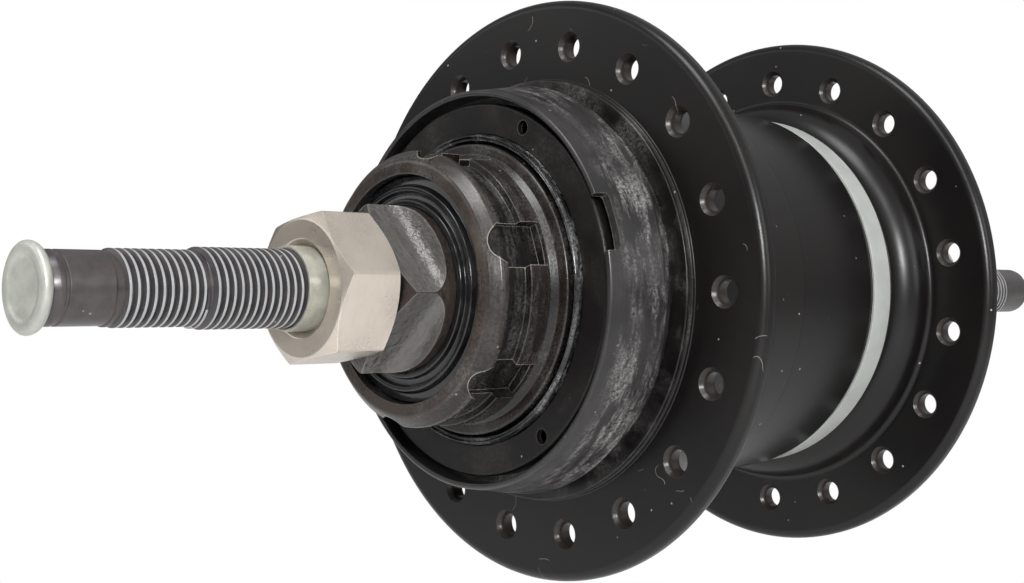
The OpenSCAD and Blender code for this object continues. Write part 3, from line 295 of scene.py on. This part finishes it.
shell = turned("hub_shell.skin", [
    (17.9, -37.5, 0.3), (20.5, -37.5, 0.6), (20.5, -30.5, 2.5), (23.5, LEFT_FACE, 1.0),
    (FLANGE_R, LEFT_FACE, RIM_ROUND), (FLANGE_R, LEFT_BACK, RIM_ROUND), (29.6, LEFT_BACK, 0.9),
    (29.6, -20.2, 3.2), (26.4, -19.2, 0.1), (26.4, -14.0, 0.1),
    (BARREL_R, -13.5, 0.9), (BARREL_R + 0.25, -4.5), (BARREL_R, 4.5, 0.1), (28.5, 4.5, 0.25),
    (28.5, DRIVE_BACK, 3.0), (FLANGE_R, DRIVE_BACK, RIM_ROUND), (FLANGE_R, DRIVE_FACE, RIM_ROUND),
    (28.65, DRIVE_FACE, 0.2), (28.65, 27.95, 0.08), (28.35, 28.1), (28.35, 28.3),
    (28.55, 28.45, 0.08), (28.55, 28.9, 0.2), (26.0, 28.9, 0.15), (26.0, 11.3), (24.5, 11.3),
    (24.5, -19.9), (23.3, -19.9), (23.3, -25.5), (15.9, -25.5), (15.9, -28.3), (17.9, -28.3)])

holes = bmesh.new()
for front, back, first in ((DRIVE_FACE, DRIVE_BACK, 2.1), (LEFT_FACE, LEFT_BACK, 12.1)):
    outer = math.copysign(1.0, front)
    sink = (SINK_R - SPOKE_R) * outer
    stations = [back - outer, back, back + sink, front - sink, front, front + outer]
    radii = [SINK_R + 1, SINK_R, SPOKE_R, SPOKE_R, SINK_R, SINK_R + 1]
    for index in range(SPOKES):
        hole = bmesh.new()
        lathe(hole, [(0, stations[0])] + [(r, s, 0.35 if 1 < i < 4 else 0)
              for i, (r, s) in enumerate(zip(radii, stations))] + [(0, stations[-1])], 32)
        bmesh.ops.transform(hole, verts=hole.verts, matrix=around(first + index * 360 / SPOKES)
                            @ Matrix.Translation((SPOKE_RING_R * MM, 0, 0)))
        join(holes, hole)
carve(shell, holes)


def mark(made, chosen):
    """Gives each face its share of the finish's second tone, by the radius, station and angle
    of its middle."""
    marks = made.data.attributes.new("second_tone_and_painted_light", "FLOAT", "FACE").data
    for face, own in zip(made.data.polygons, marks):
        x, y, z = face.center / MM
        own.value = float(chosen(math.hypot(x, z), -y, math.degrees(math.atan2(z, x))))


mark(shell, lambda radius, station, angle:
     abs(radius - SPOKE_RING_R) < SINK_R and DRIVE_BACK < abs(station) - 0.02 < DRIVE_FACE - 0.04)


# Sizes of what a finish is made of, as noise cells in a metre.
FINE_GRAIN = 2600.0
TOOL_MARKS = 2200.0
GREASE_SMEARS = 420.0
GREASE_PATCHES = 120.0
DRIED_POWDER = 2600.0
DUST_SPECKS = 620.0
DUSTY_PLACES = 460.0
FIBRE_CURLS = 330.0
FIBRE_PLACES = 190.0
OIL_RIPPLES = 900.0
TO_STATION = -1 / MM     # from a Y coordinate in metres
DUST = ink(168, 164, 158)
FIBRE = ink(120, 116, 112)


def look(name, base, low, rough=(0.35, 0.5), metallic=0.0, cloud=90.0, rings=0.0, grain=0.25,
         edge_wear_and_highlight=None, edge_wear_and_highlight_width=0.25, dust=0.0, lint=0.0, grease_and_sheen=None, film=0.0, film_at=None,
         painted_shade=None, painted_shade_depth=1.5, second_tone_and_painted_light=None, ripple=0.0, bump=0.00002, specular=0.5):
    """A finish. Base and low are its two tones and rings its turning marks. The marked faces take
    a
    second tone: a tone of their own on the shell's countersinks and the cone's flats, painted
    shade on the driver and a painted highlight on the axle's thread crests. The edge tone is
    partly that of worn edges and partly a painted highlight along the sharp edges, and the crevice
    tone is painted shade where ambient occlusion finds the surface closed in. The film that lies
    on it, which thins out between the two stations of film_at, has a tone of its own, which on the
    drive seal is partly a painted highlight; cloud is the scale of its tones and ripple how wet
    oil stands on it."""
    paint = Paint(bpy.data.materials.new(name))
    where = paint.node("TexCoord", None, None, "Object")
    x, y, z = (paint.node("SeparateXYZ", None, {"Vector": where}, axis) for axis in "XYZ")
    radius = (x * x + z * z) ** 0.5
    turning = paint.node("CombineXYZ", None, {"X": radius, "Y": y, "Z": x * 0.02})
    blotch = paint.noise(where, cloud, 5.0, 0.6)
    fine = paint.noise(where, FINE_GRAIN, 3.0, 0.7)
    marks = paint.noise(turning, TOOL_MARKS, 3.0, 0.6)
    lighter = [min(1.0, level * 1.7 + 0.004) for level in base[:3]] + [1.0]
    colour = paint.mix(blotch.between(0.36, 0.64), low, base)
    # The marked faces' second tone: a tone of their own on the shell's countersinks and the cone's
    # flats, painted shade on the driver, and a painted highlight on the axle's thread crests.
    if second_tone_and_painted_light:
        marked = paint.node("Attribute", {"attribute_name": "second_tone_and_painted_light"}, None, "Fac")
        colour = paint.mix(marked * blotch.between(0.1, 0.3), colour, second_tone_and_painted_light)
    colour = paint.mix(fine.between(0.5, 0.78) * grain, colour, lighter)
    colour = paint.mix(marks.between(0.42, 0.62) * rings, colour, low)
    roughness = blotch * (rough[1] - rough[0]) + rough[0] + (fine - 0.5) * 0.1
    # Painted shade: the crevice tone darkens whatever ambient occlusion finds closed in, such as a
    # groove, a thread root or the gap between two parts.
    if painted_shade:
        open_sky = paint.node("AmbientOcclusion", {"samples": 8},
                              {"Distance": painted_shade_depth * MM}, "AO")
        deep = (1.0 - open_sky.between(0.35, 0.85)) * (0.75 + blotch * 0.5)
        colour = paint.mix(paint.node("Clamp", None, {"Value": deep}), colour, painted_shade)
    if grease_and_sheen:
        round_way = paint.node("CombineXYZ", None, {"X": x * 0.35, "Y": y * 1.6, "Z": z * 0.35})
        smear = paint.noise(round_way, GREASE_SMEARS, 7.0, 0.72)
        patch = paint.noise(where, GREASE_PATCHES, 2.0, 0.5)
        powder = paint.noise(where, DRIED_POWDER, 6.0, 0.8)
        lay = smear.between(0.42, 0.66) * powder.between(0.36, 0.64)
        lay = lay * (patch.between(0.34, 0.60) * 0.8 + 0.2) * film
        if film_at:
            lay = lay * (1.0 - (y * TO_STATION).between(*film_at))
        colour = paint.mix(lay, colour, grease_and_sheen)
        roughness = roughness * (1.0 - lay * 0.3)
    if dust:
        specks = paint.node("TexVoronoi", None, {"Vector": where, "Scale": DUST_SPECKS},
                            "Distance")
        few = paint.noise(where, DUSTY_PLACES, 1.0).between(0.61, 0.68)
        colour = paint.mix((1.0 - specks.between(0.05, 0.12)) * few * dust, colour, DUST)
    if lint:
        curl = abs(paint.noise(where, FIBRE_CURLS, 0.5, 0.3) - 0.5)
        place = paint.noise(where, FIBRE_PLACES, 0.0).between(0.71, 0.73)
        near_face = (y * TO_STATION).between(25.0, 27.0)
        colour = paint.mix((1.0 - curl.between(0.003, 0.007)) * place * near_face * lint,
                           colour, FIBRE)
    # Worn edges and painted highlights: the edges that the Bevel node finds take the lighter edge
    # tone in blotches.
    if edge_wear_and_highlight:
        rounded = paint.node("Bevel", {"samples": 6}, {"Radius": edge_wear_and_highlight_width * MM})
        facing = paint.node("NewGeometry", None, None, "Normal")
        turn = paint.node("VectorMath", {"operation": "DOT_PRODUCT"}, {0: rounded, 1: facing},
                          "Value")
        rubbed_and_lit_edges = (1.0 - turn).between(0.02, 0.14) * blotch.between(0.25, 0.5)
        colour = paint.mix(rubbed_and_lit_edges, colour, edge_wear_and_highlight)
        roughness = roughness * (1.0 - rubbed_and_lit_edges * 0.3)
    height = fine * 0.5 + marks * (0.2 + rings) + blotch * 0.6
    if ripple:
        height = height + paint.noise(where, OIL_RIPPLES, 4.0, 0.6) * ripple
    normal = paint.node("Bump", None, {"Height": height, "Distance": bump, "Strength": 1.0})
    return paint.shade(paint.node("BsdfPrincipled", None, {
        "Base Color": colour, "Roughness": roughness, "Metallic": metallic, "Normal": normal,
        "Specular IOR Level": specular}))


def fit(made, node, body, material):
    """The piece stands for its node, moves with the body and wears the material."""
    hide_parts(node)
    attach(made, body)
    made.data.materials.clear()
    made.data.materials.append(material)
    evened = made.modifiers.new("normals", "WEIGHTED_NORMAL")
    evened.keep_sharp = True
    return made


SATIN_BLACK = look("satin_black", ink(16, 14, 13), ink(11, 9, 9), (0.27, 0.34), cloud=45.0,
                   grain=0.1, grease_and_sheen=ink(120, 118, 117), film=0.45, film_at=(28.2, 27.7),
                   dust=0.8, lint=0.8, second_tone_and_painted_light=ink(40, 36, 34), edge_wear_and_highlight=ink(60, 56, 53),
                   edge_wear_and_highlight_width=0.2, bump=0.000006, specular=0.3)
fit(shell, "hub_shell", "shell", SATIN_BLACK)

# Shell band. A thin strip of brushed aluminium bent round the barrel in its own groove, glued
# down and left bare.

band = turned("shell_band.skin", [(26.42, -18.5), (26.8, -18.5, 0.1), (26.8, -14.5, 0.1),
                                  (26.42, -14.5)])
fit(band, "shell_band", "shell", look("brushed_aluminium", ink(164, 166, 163), ink(155, 157, 154),
    (0.46, 0.6), metallic=0.2, cloud=180.0, rings=0.3, grain=0.06, bump=0.000006))

# Drive ball cup. Hardened steel, blued black, screwed into the shell; two notches in its rim take
# the tool. Its thin rim stands round the dust cap, and old grease has dried on its side.

NOTCH_AT = 21.0

cup = turned("drive_ball_cup.skin", [
    (25.98, 21.2), (25.98, 31.6, 0.1), (27.5, 31.6, 0.3), (26.15, 40.1, 0.35), (25.4, 40.1, 0.25),
    (25.4, 36.7), (24.62, 36.7), (24.06, 36.1), (24.06, 31.3, 1.0), (22.76, 31.3, 0.1),
    (22.76, 21.2)])
notches = bmesh.new()
for angle in (NOTCH_AT, NOTCH_AT + 180):
    block(notches, (3.6, 4.0, 7.3), (26.72, 40.1, 0), around(angle), 0.5)
carve(cup, notches)
# Painted shade darkens the cup's crevices, behind the dust cap and round the notches.
CUP_BLACK = look("blued_steel", ink(40, 37, 37), ink(27, 26, 26), (0.24, 0.4), metallic=0.1,
                 cloud=140.0, rings=0.3, grain=0.15, grease_and_sheen=ink(152, 150, 149), film=1.0,
                 film_at=(36.0, 39.4), painted_shade=ink(9, 9, 9), edge_wear_and_highlight=ink(84, 80, 76), dust=0.5)
fit(cup, "drive_ball_cup", "shell", CUP_BLACK)

# Dust cap and seal. A pressed steel ring closes the cup in front of its balls, with three small
# holes, and a black rubber ring runs in it on the driver's shoulder.

CAP_HOLES = 3
CAP_HOLE_R = 0.95
CAP_HOLE_RING_R = 22.75
FIRST_CAP_HOLE = 68

dust_cap = turned("drive_dust_cap.skin", [
    (20.42, 38.3), (23.8, 38.3), (23.8, 36.1), (24.6, 36.7), (24.6, 39.1, 0.45),
    (20.42, 39.1, 0.2)])
bores = bmesh.new()
for index in range(CAP_HOLES):
    bore = bmesh.ops.create_cone(bores, cap_ends=True, segments=40, radius1=CAP_HOLE_R * MM,
                                 radius2=CAP_HOLE_R * MM, depth=4 * MM)["verts"]
    turn = around(FIRST_CAP_HOLE + index * 360 / CAP_HOLES)
    bmesh.ops.transform(bores, verts=bore, matrix=turn
                        @ Matrix.Translation((CAP_HOLE_RING_R * MM, -39 * MM, 0))
                        @ Matrix.Rotation(math.radians(90), 4, "X"))
carve(dust_cap, bores)
# Painted shade darkens the dust cap's crevices and holes.
fit(dust_cap, "drive_dust_cap", "shell", look(
    "dust_cap_steel", ink(20, 18, 17), ink(14, 12, 12), (0.3, 0.46), metallic=0.05, cloud=130.0,
    rings=0.25, grain=0.12, grease_and_sheen=ink(96, 92, 88), film=0.2, painted_shade=ink(7, 7, 7),
    edge_wear_and_highlight=ink(80, 75, 70), dust=0.6, specular=0.25))

# The drive seal's rubber: painted shade in its crevices, and a near-white film that is partly real
# grease and partly a painted highlight, the bright lines along the seal.
RUBBER = look("greasy_rubber_painted_light", ink(26, 26, 27), ink(13, 13, 14), (0.08, 0.22), cloud=260.0,
              rings=0.5, grain=0.1, grease_and_sheen=ink(186, 187, 188), film=0.7, painted_shade=ink(6, 6, 6),
              painted_shade_depth=1.0, ripple=2.0)
CLEAN_RUBBER = look("oiled_rubber", ink(22, 22, 23), ink(11, 11, 12), (0.08, 0.22), cloud=260.0,
                    rings=0.5, grain=0.1, grease_and_sheen=ink(120, 120, 122), film=0.12, ripple=2.0)
seal = turned("drive_seal.skin", [
    (19.4, 37.7), (20.4, 37.7), (20.4, 39.6, 0.1), (20.1, 40.1, 0.12), (19.8, 39.6, 0.1),
    (19.6, 39.8, 0.1), (19.4, 39.4, 0.05)])
fit(seal, "drive_seal", "shell", RUBBER)

# Driver. Turned steel that takes the sprocket on two rings with six round-ended notches, browned
# and handled; inside it carries the outer balls' race and turns the sliding clutch.

SLOTS = 6
SLOT_HALF = 2.8
SLOT_FLOOR_R = 15.7
SLOT_MOUTH, SLOT_END = 41.9, 50.5
FIRST_SLOT = 21.5

driver = turned("driver.skin", [
    (14.5, 51.0, 0.25), (16.2, 51.0, 0.3), (17.6, 49.6, 0.25), (17.6, 48.6, 0.15),
    (16.6, 48.6, 0.2), (16.6, 45.0, 0.2), (17.6, 45.0, 0.15), (17.6, 41.9, 0.15),
    (16.9, 41.9, 0.1), (16.9, 41.18, 0.1), (17.68, 40.4, 0.1), (19.1, 40.4, 0.35), (19.1, 35.73),
    (20.4, 35.73, 0.02), (20.4, 35.68), (19.7, 35.1), (19.25, 34.3), (19.1, 33.5), (19.1, 30.0),
    (13.0, 30.0), (13.0, 12.3), (10.0, 12.3), (10.0, 42.97), (10.98, 42.97), (10.98, 43.8),
    (11.6, 44.35), (12.1, 45.1), (12.28, 46.0), (12.28, 48.7), (14.5, 48.7, 0.3)])
cuts = bmesh.new()
for index in range(SLOTS):
    slot = bmesh.new()
    corners = [slot.verts.new((SLOT_FLOOR_R * MM, -s * MM, w * MM)) for s, w in
               ((SLOT_MOUTH, -SLOT_HALF), (SLOT_MOUTH, SLOT_HALF),
                (SLOT_END, SLOT_HALF), (SLOT_END, -SLOT_HALF))]
    slot.faces.new(corners)
    bmesh.ops.bevel(slot, geom=corners[2:], offset=(SLOT_HALF - 0.01) * MM,
                    affect="VERTICES", segments=12, profile=0.5, material=-1)
    grown = bmesh.ops.extrude_face_region(slot, geom=slot.faces[:], use_keep_orig=True)["geom"]
    bmesh.ops.translate(slot, vec=(4 * MM, 0, 0),
                        verts=[v for v in grown if isinstance(v, bmesh.types.BMVert)])
    bmesh.ops.transform(slot, matrix=around(FIRST_SLOT + index * 360 / SLOTS),
                        verts=slot.verts)
    join(cuts, slot)
carve(driver, cuts)
arm_slots = bmesh.new()
for angle in (0, 90, 180, 270):
    block(arm_slots, (8.0, 7.8, 4.6), (11.0, 14.9, 0), around(angle))
carve(driver, arm_slots)
# Painted shade: the groove floors, the notch floors and the recess take the nearly black second
# tone in full, and the driver behind its front ring takes most of it; painted shade also darkens
# its crevices.
mark(driver, lambda radius, station, angle: 1.0 if radius < 17.35 and station < 50.2
     else 0.7 * (station < 48.55) or 0.65 * (station < 50.9))
fit(driver, "driver", "driver", look(
    "browned_steel", ink(58, 51, 46), ink(46, 40, 37), (0.22, 0.34), metallic=0.15, cloud=110.0,
    rings=0.25, grain=0.12, grease_and_sheen=ink(132, 130, 128), film=0.32, second_tone_and_painted_light=ink(13, 12, 12),
    painted_shade=ink(6, 6, 6), edge_wear_and_highlight=ink(140, 132, 124), edge_wear_and_highlight_width=0.2, dust=0.6, specular=0.4))

# Drive cone and its seal. Hardened steel, screwed on the axle; four flats with scooped feet take
# the wrench. The lipped rubber ring round its base runs in the driver's recess.

FLAT_R = 7.5
FOOT_R = 2.2
FOOT_AT = 52.3

cone = turned("drive_cone.skin", [
    (4.72, 42.97), (7.32, 42.97), (7.32, 46.0), (7.6, 47.0), (8.52, 47.9), (8.52, 48.4),
    (10.5, 48.4), (10.5, 57.0, 0.2), (8.1, 58.0), (4.72, 58.0)])
for angle in (45, 135):
    scoops = bmesh.new()
    for side in (0, 180):
        scoop = bmesh.new()
        block(scoop, (8.0, 10.0, 24.0), (FLAT_R + 4, FOOT_AT + 5, 0))
        foot = [e for e in scoop.edges
                if all(v.co.x < 8 * MM and v.co.y > -53 * MM for v in e.verts)]
        bmesh.ops.bevel(scoop, geom=foot, offset=FOOT_R * MM, affect="EDGES", segments=8,
                        profile=0.5, material=-1)
        bmesh.ops.transform(scoop, matrix=around(angle + side), verts=scoop.verts)
        join(scoops, scoop)
    carve(cone, scoops)


def scooped(radius, station, angle):
    """Whether a point lies on one of the four flats or on its hollow foot."""
    depth = radius * math.cos(math.radians(angle % 90 - 45))
    hollow = math.hypot(depth - FLAT_R - FOOT_R, station - FOOT_AT - FOOT_R)
    return abs(station - FOOT_AT) < 0.01 or station > FOOT_AT and (
        abs(depth - FLAT_R) < 0.01 or depth < FLAT_R + FOOT_R and abs(hollow - FOOT_R) < 0.03)


mark(cone, scooped)
# Painted shade darkens the cone's crevices, its scooped feet and the corners by the nut and the
# seal.
CONE_STEEL = look("oiled_steel", ink(60, 53, 49), ink(44, 38, 35), (0.1, 0.26), metallic=0.35,
                  cloud=170.0, rings=0.2, grain=0.2, grease_and_sheen=ink(44, 42, 41), film=0.6,
                  second_tone_and_painted_light=ink(92, 90, 88), painted_shade=ink(18, 17, 16), edge_wear_and_highlight=ink(130, 126, 121),
                  ripple=16.0)
fit(cone, "drive_cone", "axle_unit", CONE_STEEL)

cone_seal = turned("cone_seal.skin", [
    (10.52, 48.9), (14.35, 48.9), (14.35, 49.7, 0.1), (13.25, 49.9, 0.1), (12.95, 50.7, 0.12),
    (12.45, 50.7, 0.12), (12.15, 50.1, 0.1), (11.45, 50.2, 0.1), (11.25, 50.9, 0.12),
    (10.52, 50.9, 0.1)])
fit(cone_seal, "cone_seal", "axle_unit", CLEAN_RUBBER)

# Locknut and sleeve. A bright nickelled nut, 17 mm across flats, chamfered at both ends, locks the
# cone. The pale nylon sleeve in its mouth grips the thread.

ACROSS_FLATS = 17.0


def hex_nut(name, outline, station, height, corner_at):
    """A turned, chamfered body kept only inside a six-sided bar."""
    nut = turned(name, outline)
    bar = bmesh.new()
    corner_r = ACROSS_FLATS / 2 / math.cos(math.pi / 6) * MM
    bmesh.ops.create_cone(bar, cap_ends=True, segments=6, radius1=corner_r, radius2=corner_r,
                          depth=(height + 4) * MM)
    upright = [e for e in bar.edges if abs(e.verts[0].co.z - e.verts[1].co.z) > MM]
    bmesh.ops.bevel(bar, geom=upright, offset=0.3 * MM, affect="EDGES", segments=3, profile=0.5,
                    material=-1)
    lying = Matrix.Translation((0, -(station + height / 2) * MM, 0)) @ around(corner_at - 90) \
        @ Matrix.Rotation(math.radians(90), 4, "X")
    bmesh.ops.transform(bar, verts=bar.verts, matrix=lying)
    return carve(nut, bar, "INTERSECT")


NICKEL = look("worn_nickel", ink(202, 192, 180), ink(188, 178, 167), (0.24, 0.34), metallic=0.8,
              cloud=120.0, rings=0.15, grain=0.06, edge_wear_and_highlight=ink(228, 220, 210), edge_wear_and_highlight_width=0.25,
              bump=0.00001)
nut = hex_nut("drive_locknut.skin", [
    (4.72, 58.0), (8.3, 58.0, 0.1), (9.95, 58.95), (9.95, 65.45), (8.3, 66.4, 0.12),
    (5.95, 66.4, 0.12), (5.15, 65.6), (5.15, 62.2), (4.72, 62.2)], 58.0, 8.4, 13.5)
fit(nut, "drive_locknut", "axle_unit", NICKEL)

sleeve = turned("locknut_sleeve.skin", [
    (4.72, 62.2), (5.13, 62.2), (5.13, 68.5, 0.15), (4.72, 68.5, 0.1)])
fit(sleeve, "locknut_sleeve", "axle_unit", look(
    "cream_nylon", ink(146, 145, 134), ink(126, 125, 116), (0.2, 0.3), cloud=300.0, grain=0.1,
    bump=0.00001))

# Axle. A steel bar bored for the push rod, with a rolled thread at both ends, thinner on the
# outer half of the drive end, and plain tips. It is oiled; the dark grey in the roots of its
# threads is painted shade, and the pale tone on their crests is a painted highlight.

PITCH = 1.0
TURN_STEPS = 64


def thread(form, crest_r, root_r, top, bottom):
    """A closed helical ridge that rises out of the bar at one end and sinks in at the other."""
    turns = int((top - bottom) / PITCH + 1e-6)
    steps = turns * TURN_STEPS
    inner = root_r - 0.08
    ridge = bmesh.new()
    profile = [ridge.verts.new((r * MM, -(top - 0.5 * PITCH + s) * MM, 0)) for r, s in
               ((inner, -0.47), (crest_r, -0.15), (crest_r, 0.15), (inner, 0.47))]
    ridge.faces.new(profile)
    bmesh.ops.delete(ridge, geom=ridge.faces[:], context="FACES_ONLY")
    bmesh.ops.spin(ridge, geom=ridge.verts[:] + ridge.edges[:], cent=(0, 0, 0), axis=(0, 1, 0),
                   dvec=(0, (turns - 1) * PITCH * MM / steps, 0), angle=math.tau * (turns - 1),
                   steps=steps, use_merge=False, use_duplicate=False)
    ridge.verts.ensure_lookup_table()
    run_in = TURN_STEPS // 3
    for index in range(run_in):
        keep = 1 - 0.13 * (1 - index / run_in)
        for at in (index, steps - index):
            bmesh.ops.scale(ridge, vec=(keep, 1, keep), verts=ridge.verts[4 * at:4 * at + 4])
    bmesh.ops.holes_fill(ridge, edges=[e for e in ridge.edges if e.is_boundary])
    bmesh.ops.recalc_face_normals(ridge, faces=ridge.faces)
    join(form, ridge)


axle = turned("axle.skin", [
    (0, -100.1), (4.1, -100.1, 0.7), (4.1, -93.0), (4.25, -92.6), (4.25, -69.2), (4.7, -68.7),
    (4.7, -23.65), (5.0, -23.65), (5.0, -22.87), (4.5, -22.87), (4.5, -21.95), (5.0, -21.95),
    (5.0, 15.2), (4.7, 15.5), (4.7, 64.6), (4.25, 65.1), (4.25, 80.5), (3.9, 80.9),
    (3.9, 91.9), (4.1, 92.3, 0.05), (4.1, 97.4, 0.05), (3.95, 97.5), (3.95, 97.8),
    (4.1, 97.9, 0.05), (4.1, 98.4, 0.1), (3.6, 99.4, 0.1), (2.4, 99.4), (2.4, 13.5),
    (0, 13.5)])
carve(axle, block(bmesh.new(), (18.8, 5.0, 3.0), (0, 19.0, 0)))
threaded = bmesh.new()
threaded.from_mesh(axle.data)
thread(threaded, 4.35, 3.9, 92.3, 79.9)
thread(threaded, 4.7, 4.25, 81.7, 64.2)
thread(threaded, 4.7, 4.25, -68.4, -93.0)
threaded.to_mesh(axle.data)
threaded.free()
axle.data.shade_smooth()
axle.data.set_sharp_from_angle(angle=SHARP)
# Painted highlight: the thread crests, and the plain bar inside the hub, take the pale second
# tone; painted shade darkens the roots of the threads.
mark(axle, lambda radius, station, angle: radius > 4.62 or 80.9 < station < 92 and radius > 4.26)
AXLE_STEEL = look("oiled_axle", ink(72, 67, 66), ink(58, 55, 57), (0.26, 0.38), metallic=0.35,
                  cloud=420.0, rings=0.1, grain=0.2, second_tone_and_painted_light=ink(158, 160, 162),
                  painted_shade=ink(44, 45, 50), painted_shade_depth=0.4, dust=0.6, bump=0.00002)
fit(axle, "axle", "axle_unit", AXLE_STEEL)

# Axle end cap. A zinc mushroom pressed into the axle's bore; its face is slightly dished and dull
# and its rim is polished by handling.

end_cap = turned("axle_end_cap.skin", [
    (0, 95.4), (2.08, 95.4), (2.38, 95.8), (2.38, 99.4), (4.3, 99.4, 0.1), (5.0, 99.8, 0.45),
    (5.0, 100.8, 0.6), (3.7, 100.78, 0.3), (3.3, 100.6, 0.3), (0, 100.55)], 128)
fit(end_cap, "axle_end_cap", "axle_unit", look(
    "dull_zinc", ink(174, 176, 168), ink(158, 160, 153), (0.26, 0.44), metallic=0.35, cloud=380.0,
    rings=0.1, grain=0.15, edge_wear_and_highlight=ink(176, 176, 171), edge_wear_and_highlight_width=0.4, bump=0.00002))

# Left end, hidden in the picture. A steel cone with two flats for the wrench, a washer and a
# second nickelled locknut, screwed on the axle behind a pressed dust cap.

left_cap = turned("left_dust_cap.skin", [
    (9.3, -37.3, 0.1), (16.88, -37.3), (17.88, -36.8, 0.2), (17.88, -35.1), (16.88, -35.1),
    (16.88, -36.3), (9.3, -36.3)])
fit(left_cap, "left_dust_cap", "shell", look(
    "left_cap_steel", ink(66, 60, 56), ink(48, 44, 42), (0.34, 0.5), metallic=0.2, rings=0.3,
    edge_wear_and_highlight=ink(120, 112, 106), dust=0.5))

left_cone = turned("left_cone.skin", [
    (4.72, -28.175), (8.225, -28.175), (8.225, -32.0), (8.6, -33.5), (9.625, -34.7),
    (9.625, -35.775), (9.0, -35.775), (9.0, -60.6, 0.4), (4.72, -60.6)])
flats = bmesh.new()
for side in (-1, 1):
    block(flats, (24.0, 21.0, 4.0), (0, -52.0, side * 9.5), None, 0.4)
carve(left_cone, flats)
fit(left_cone, "left_cone", "axle_unit", CONE_STEEL)

washer = turned("left_washer.skin", [
    (4.72, -62.1), (9.0, -62.1, 0.25), (9.0, -60.6, 0.25), (4.72, -60.6)])
fit(washer, "left_washer", "axle_unit", NICKEL)

left_nut = hex_nut("left_locknut.skin", [
    (4.72, -68.6, 0.4), (8.3, -68.6, 0.12), (9.95, -67.65), (9.95, -63.05), (8.3, -62.1, 0.12),
    (4.72, -62.1, 0.4)], -68.6, 6.5, 0.0)
fit(left_nut, "left_locknut", "axle_unit", NICKEL)

# Works inside the shell. Gears, cams and races are case-hardened steel, the balls and rollers are
# polished, the cages are pressed brass and the springs are drawn wire, all of them oiled.

GEAR_STEEL = look("gear_steel", ink(158, 154, 148), ink(118, 114, 110), (0.22, 0.38),
                  metallic=0.85, cloud=220.0, rings=0.25, grain=0.3, edge_wear_and_highlight=ink(214, 210, 204),
                  grease_and_sheen=ink(120, 108, 92), film=0.25)
BEARING_STEEL = look("bearing_steel", ink(206, 206, 206), ink(184, 184, 184), (0.08, 0.16),
                     metallic=0.95, cloud=300.0, grain=0.1, grease_and_sheen=ink(150, 140, 120), film=0.15,
                     bump=0.000005)
BRASS = look("cage_brass", ink(178, 146, 92), ink(146, 116, 70), (0.28, 0.42), metallic=0.85,
             cloud=240.0, rings=0.15, grain=0.25, edge_wear_and_highlight=ink(222, 192, 134), edge_wear_and_highlight_width=0.15)
SPRING_STEEL = look("spring_steel", ink(132, 132, 136), ink(96, 96, 100), (0.2, 0.32),
                    metallic=0.85, cloud=260.0, rings=0.3, grain=0.2)
WORKS = {
    GEAR_STEEL.name: ["sun_gear", "thrust_washer", "push_rod", "shift_key", "sliding_clutch",
                      "ring_gear", "planet_carrier", "carrier_plate", "planet_pins",
                      "low_clutch_cam", "planet_gear_1", "planet_gear_2", "planet_gear_3",
                      "planet_gear_4", "drive_clutch_race", "low_clutch_race", "left_ball_cup"],
    BEARING_STEEL.name: ["drive_clutch_rollers", "low_clutch_rollers", "cone_bearing_balls",
                         "cup_bearing_balls", "left_bearing_balls"],
    BRASS.name: ["drive_roller_cage", "low_roller_cage", "cone_ball_cage", "cup_ball_cage",
                 "left_ball_cage"],
    SPRING_STEEL.name: ["clutch_spring", "spring_washer", "axle_circlip", "cage_spring"],
}
for material_name, nodes in WORKS.items():
    for node in nodes:
        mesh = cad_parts[node].data
        mesh.materials.clear()
        mesh.materials.append(bpy.data.materials[material_name])
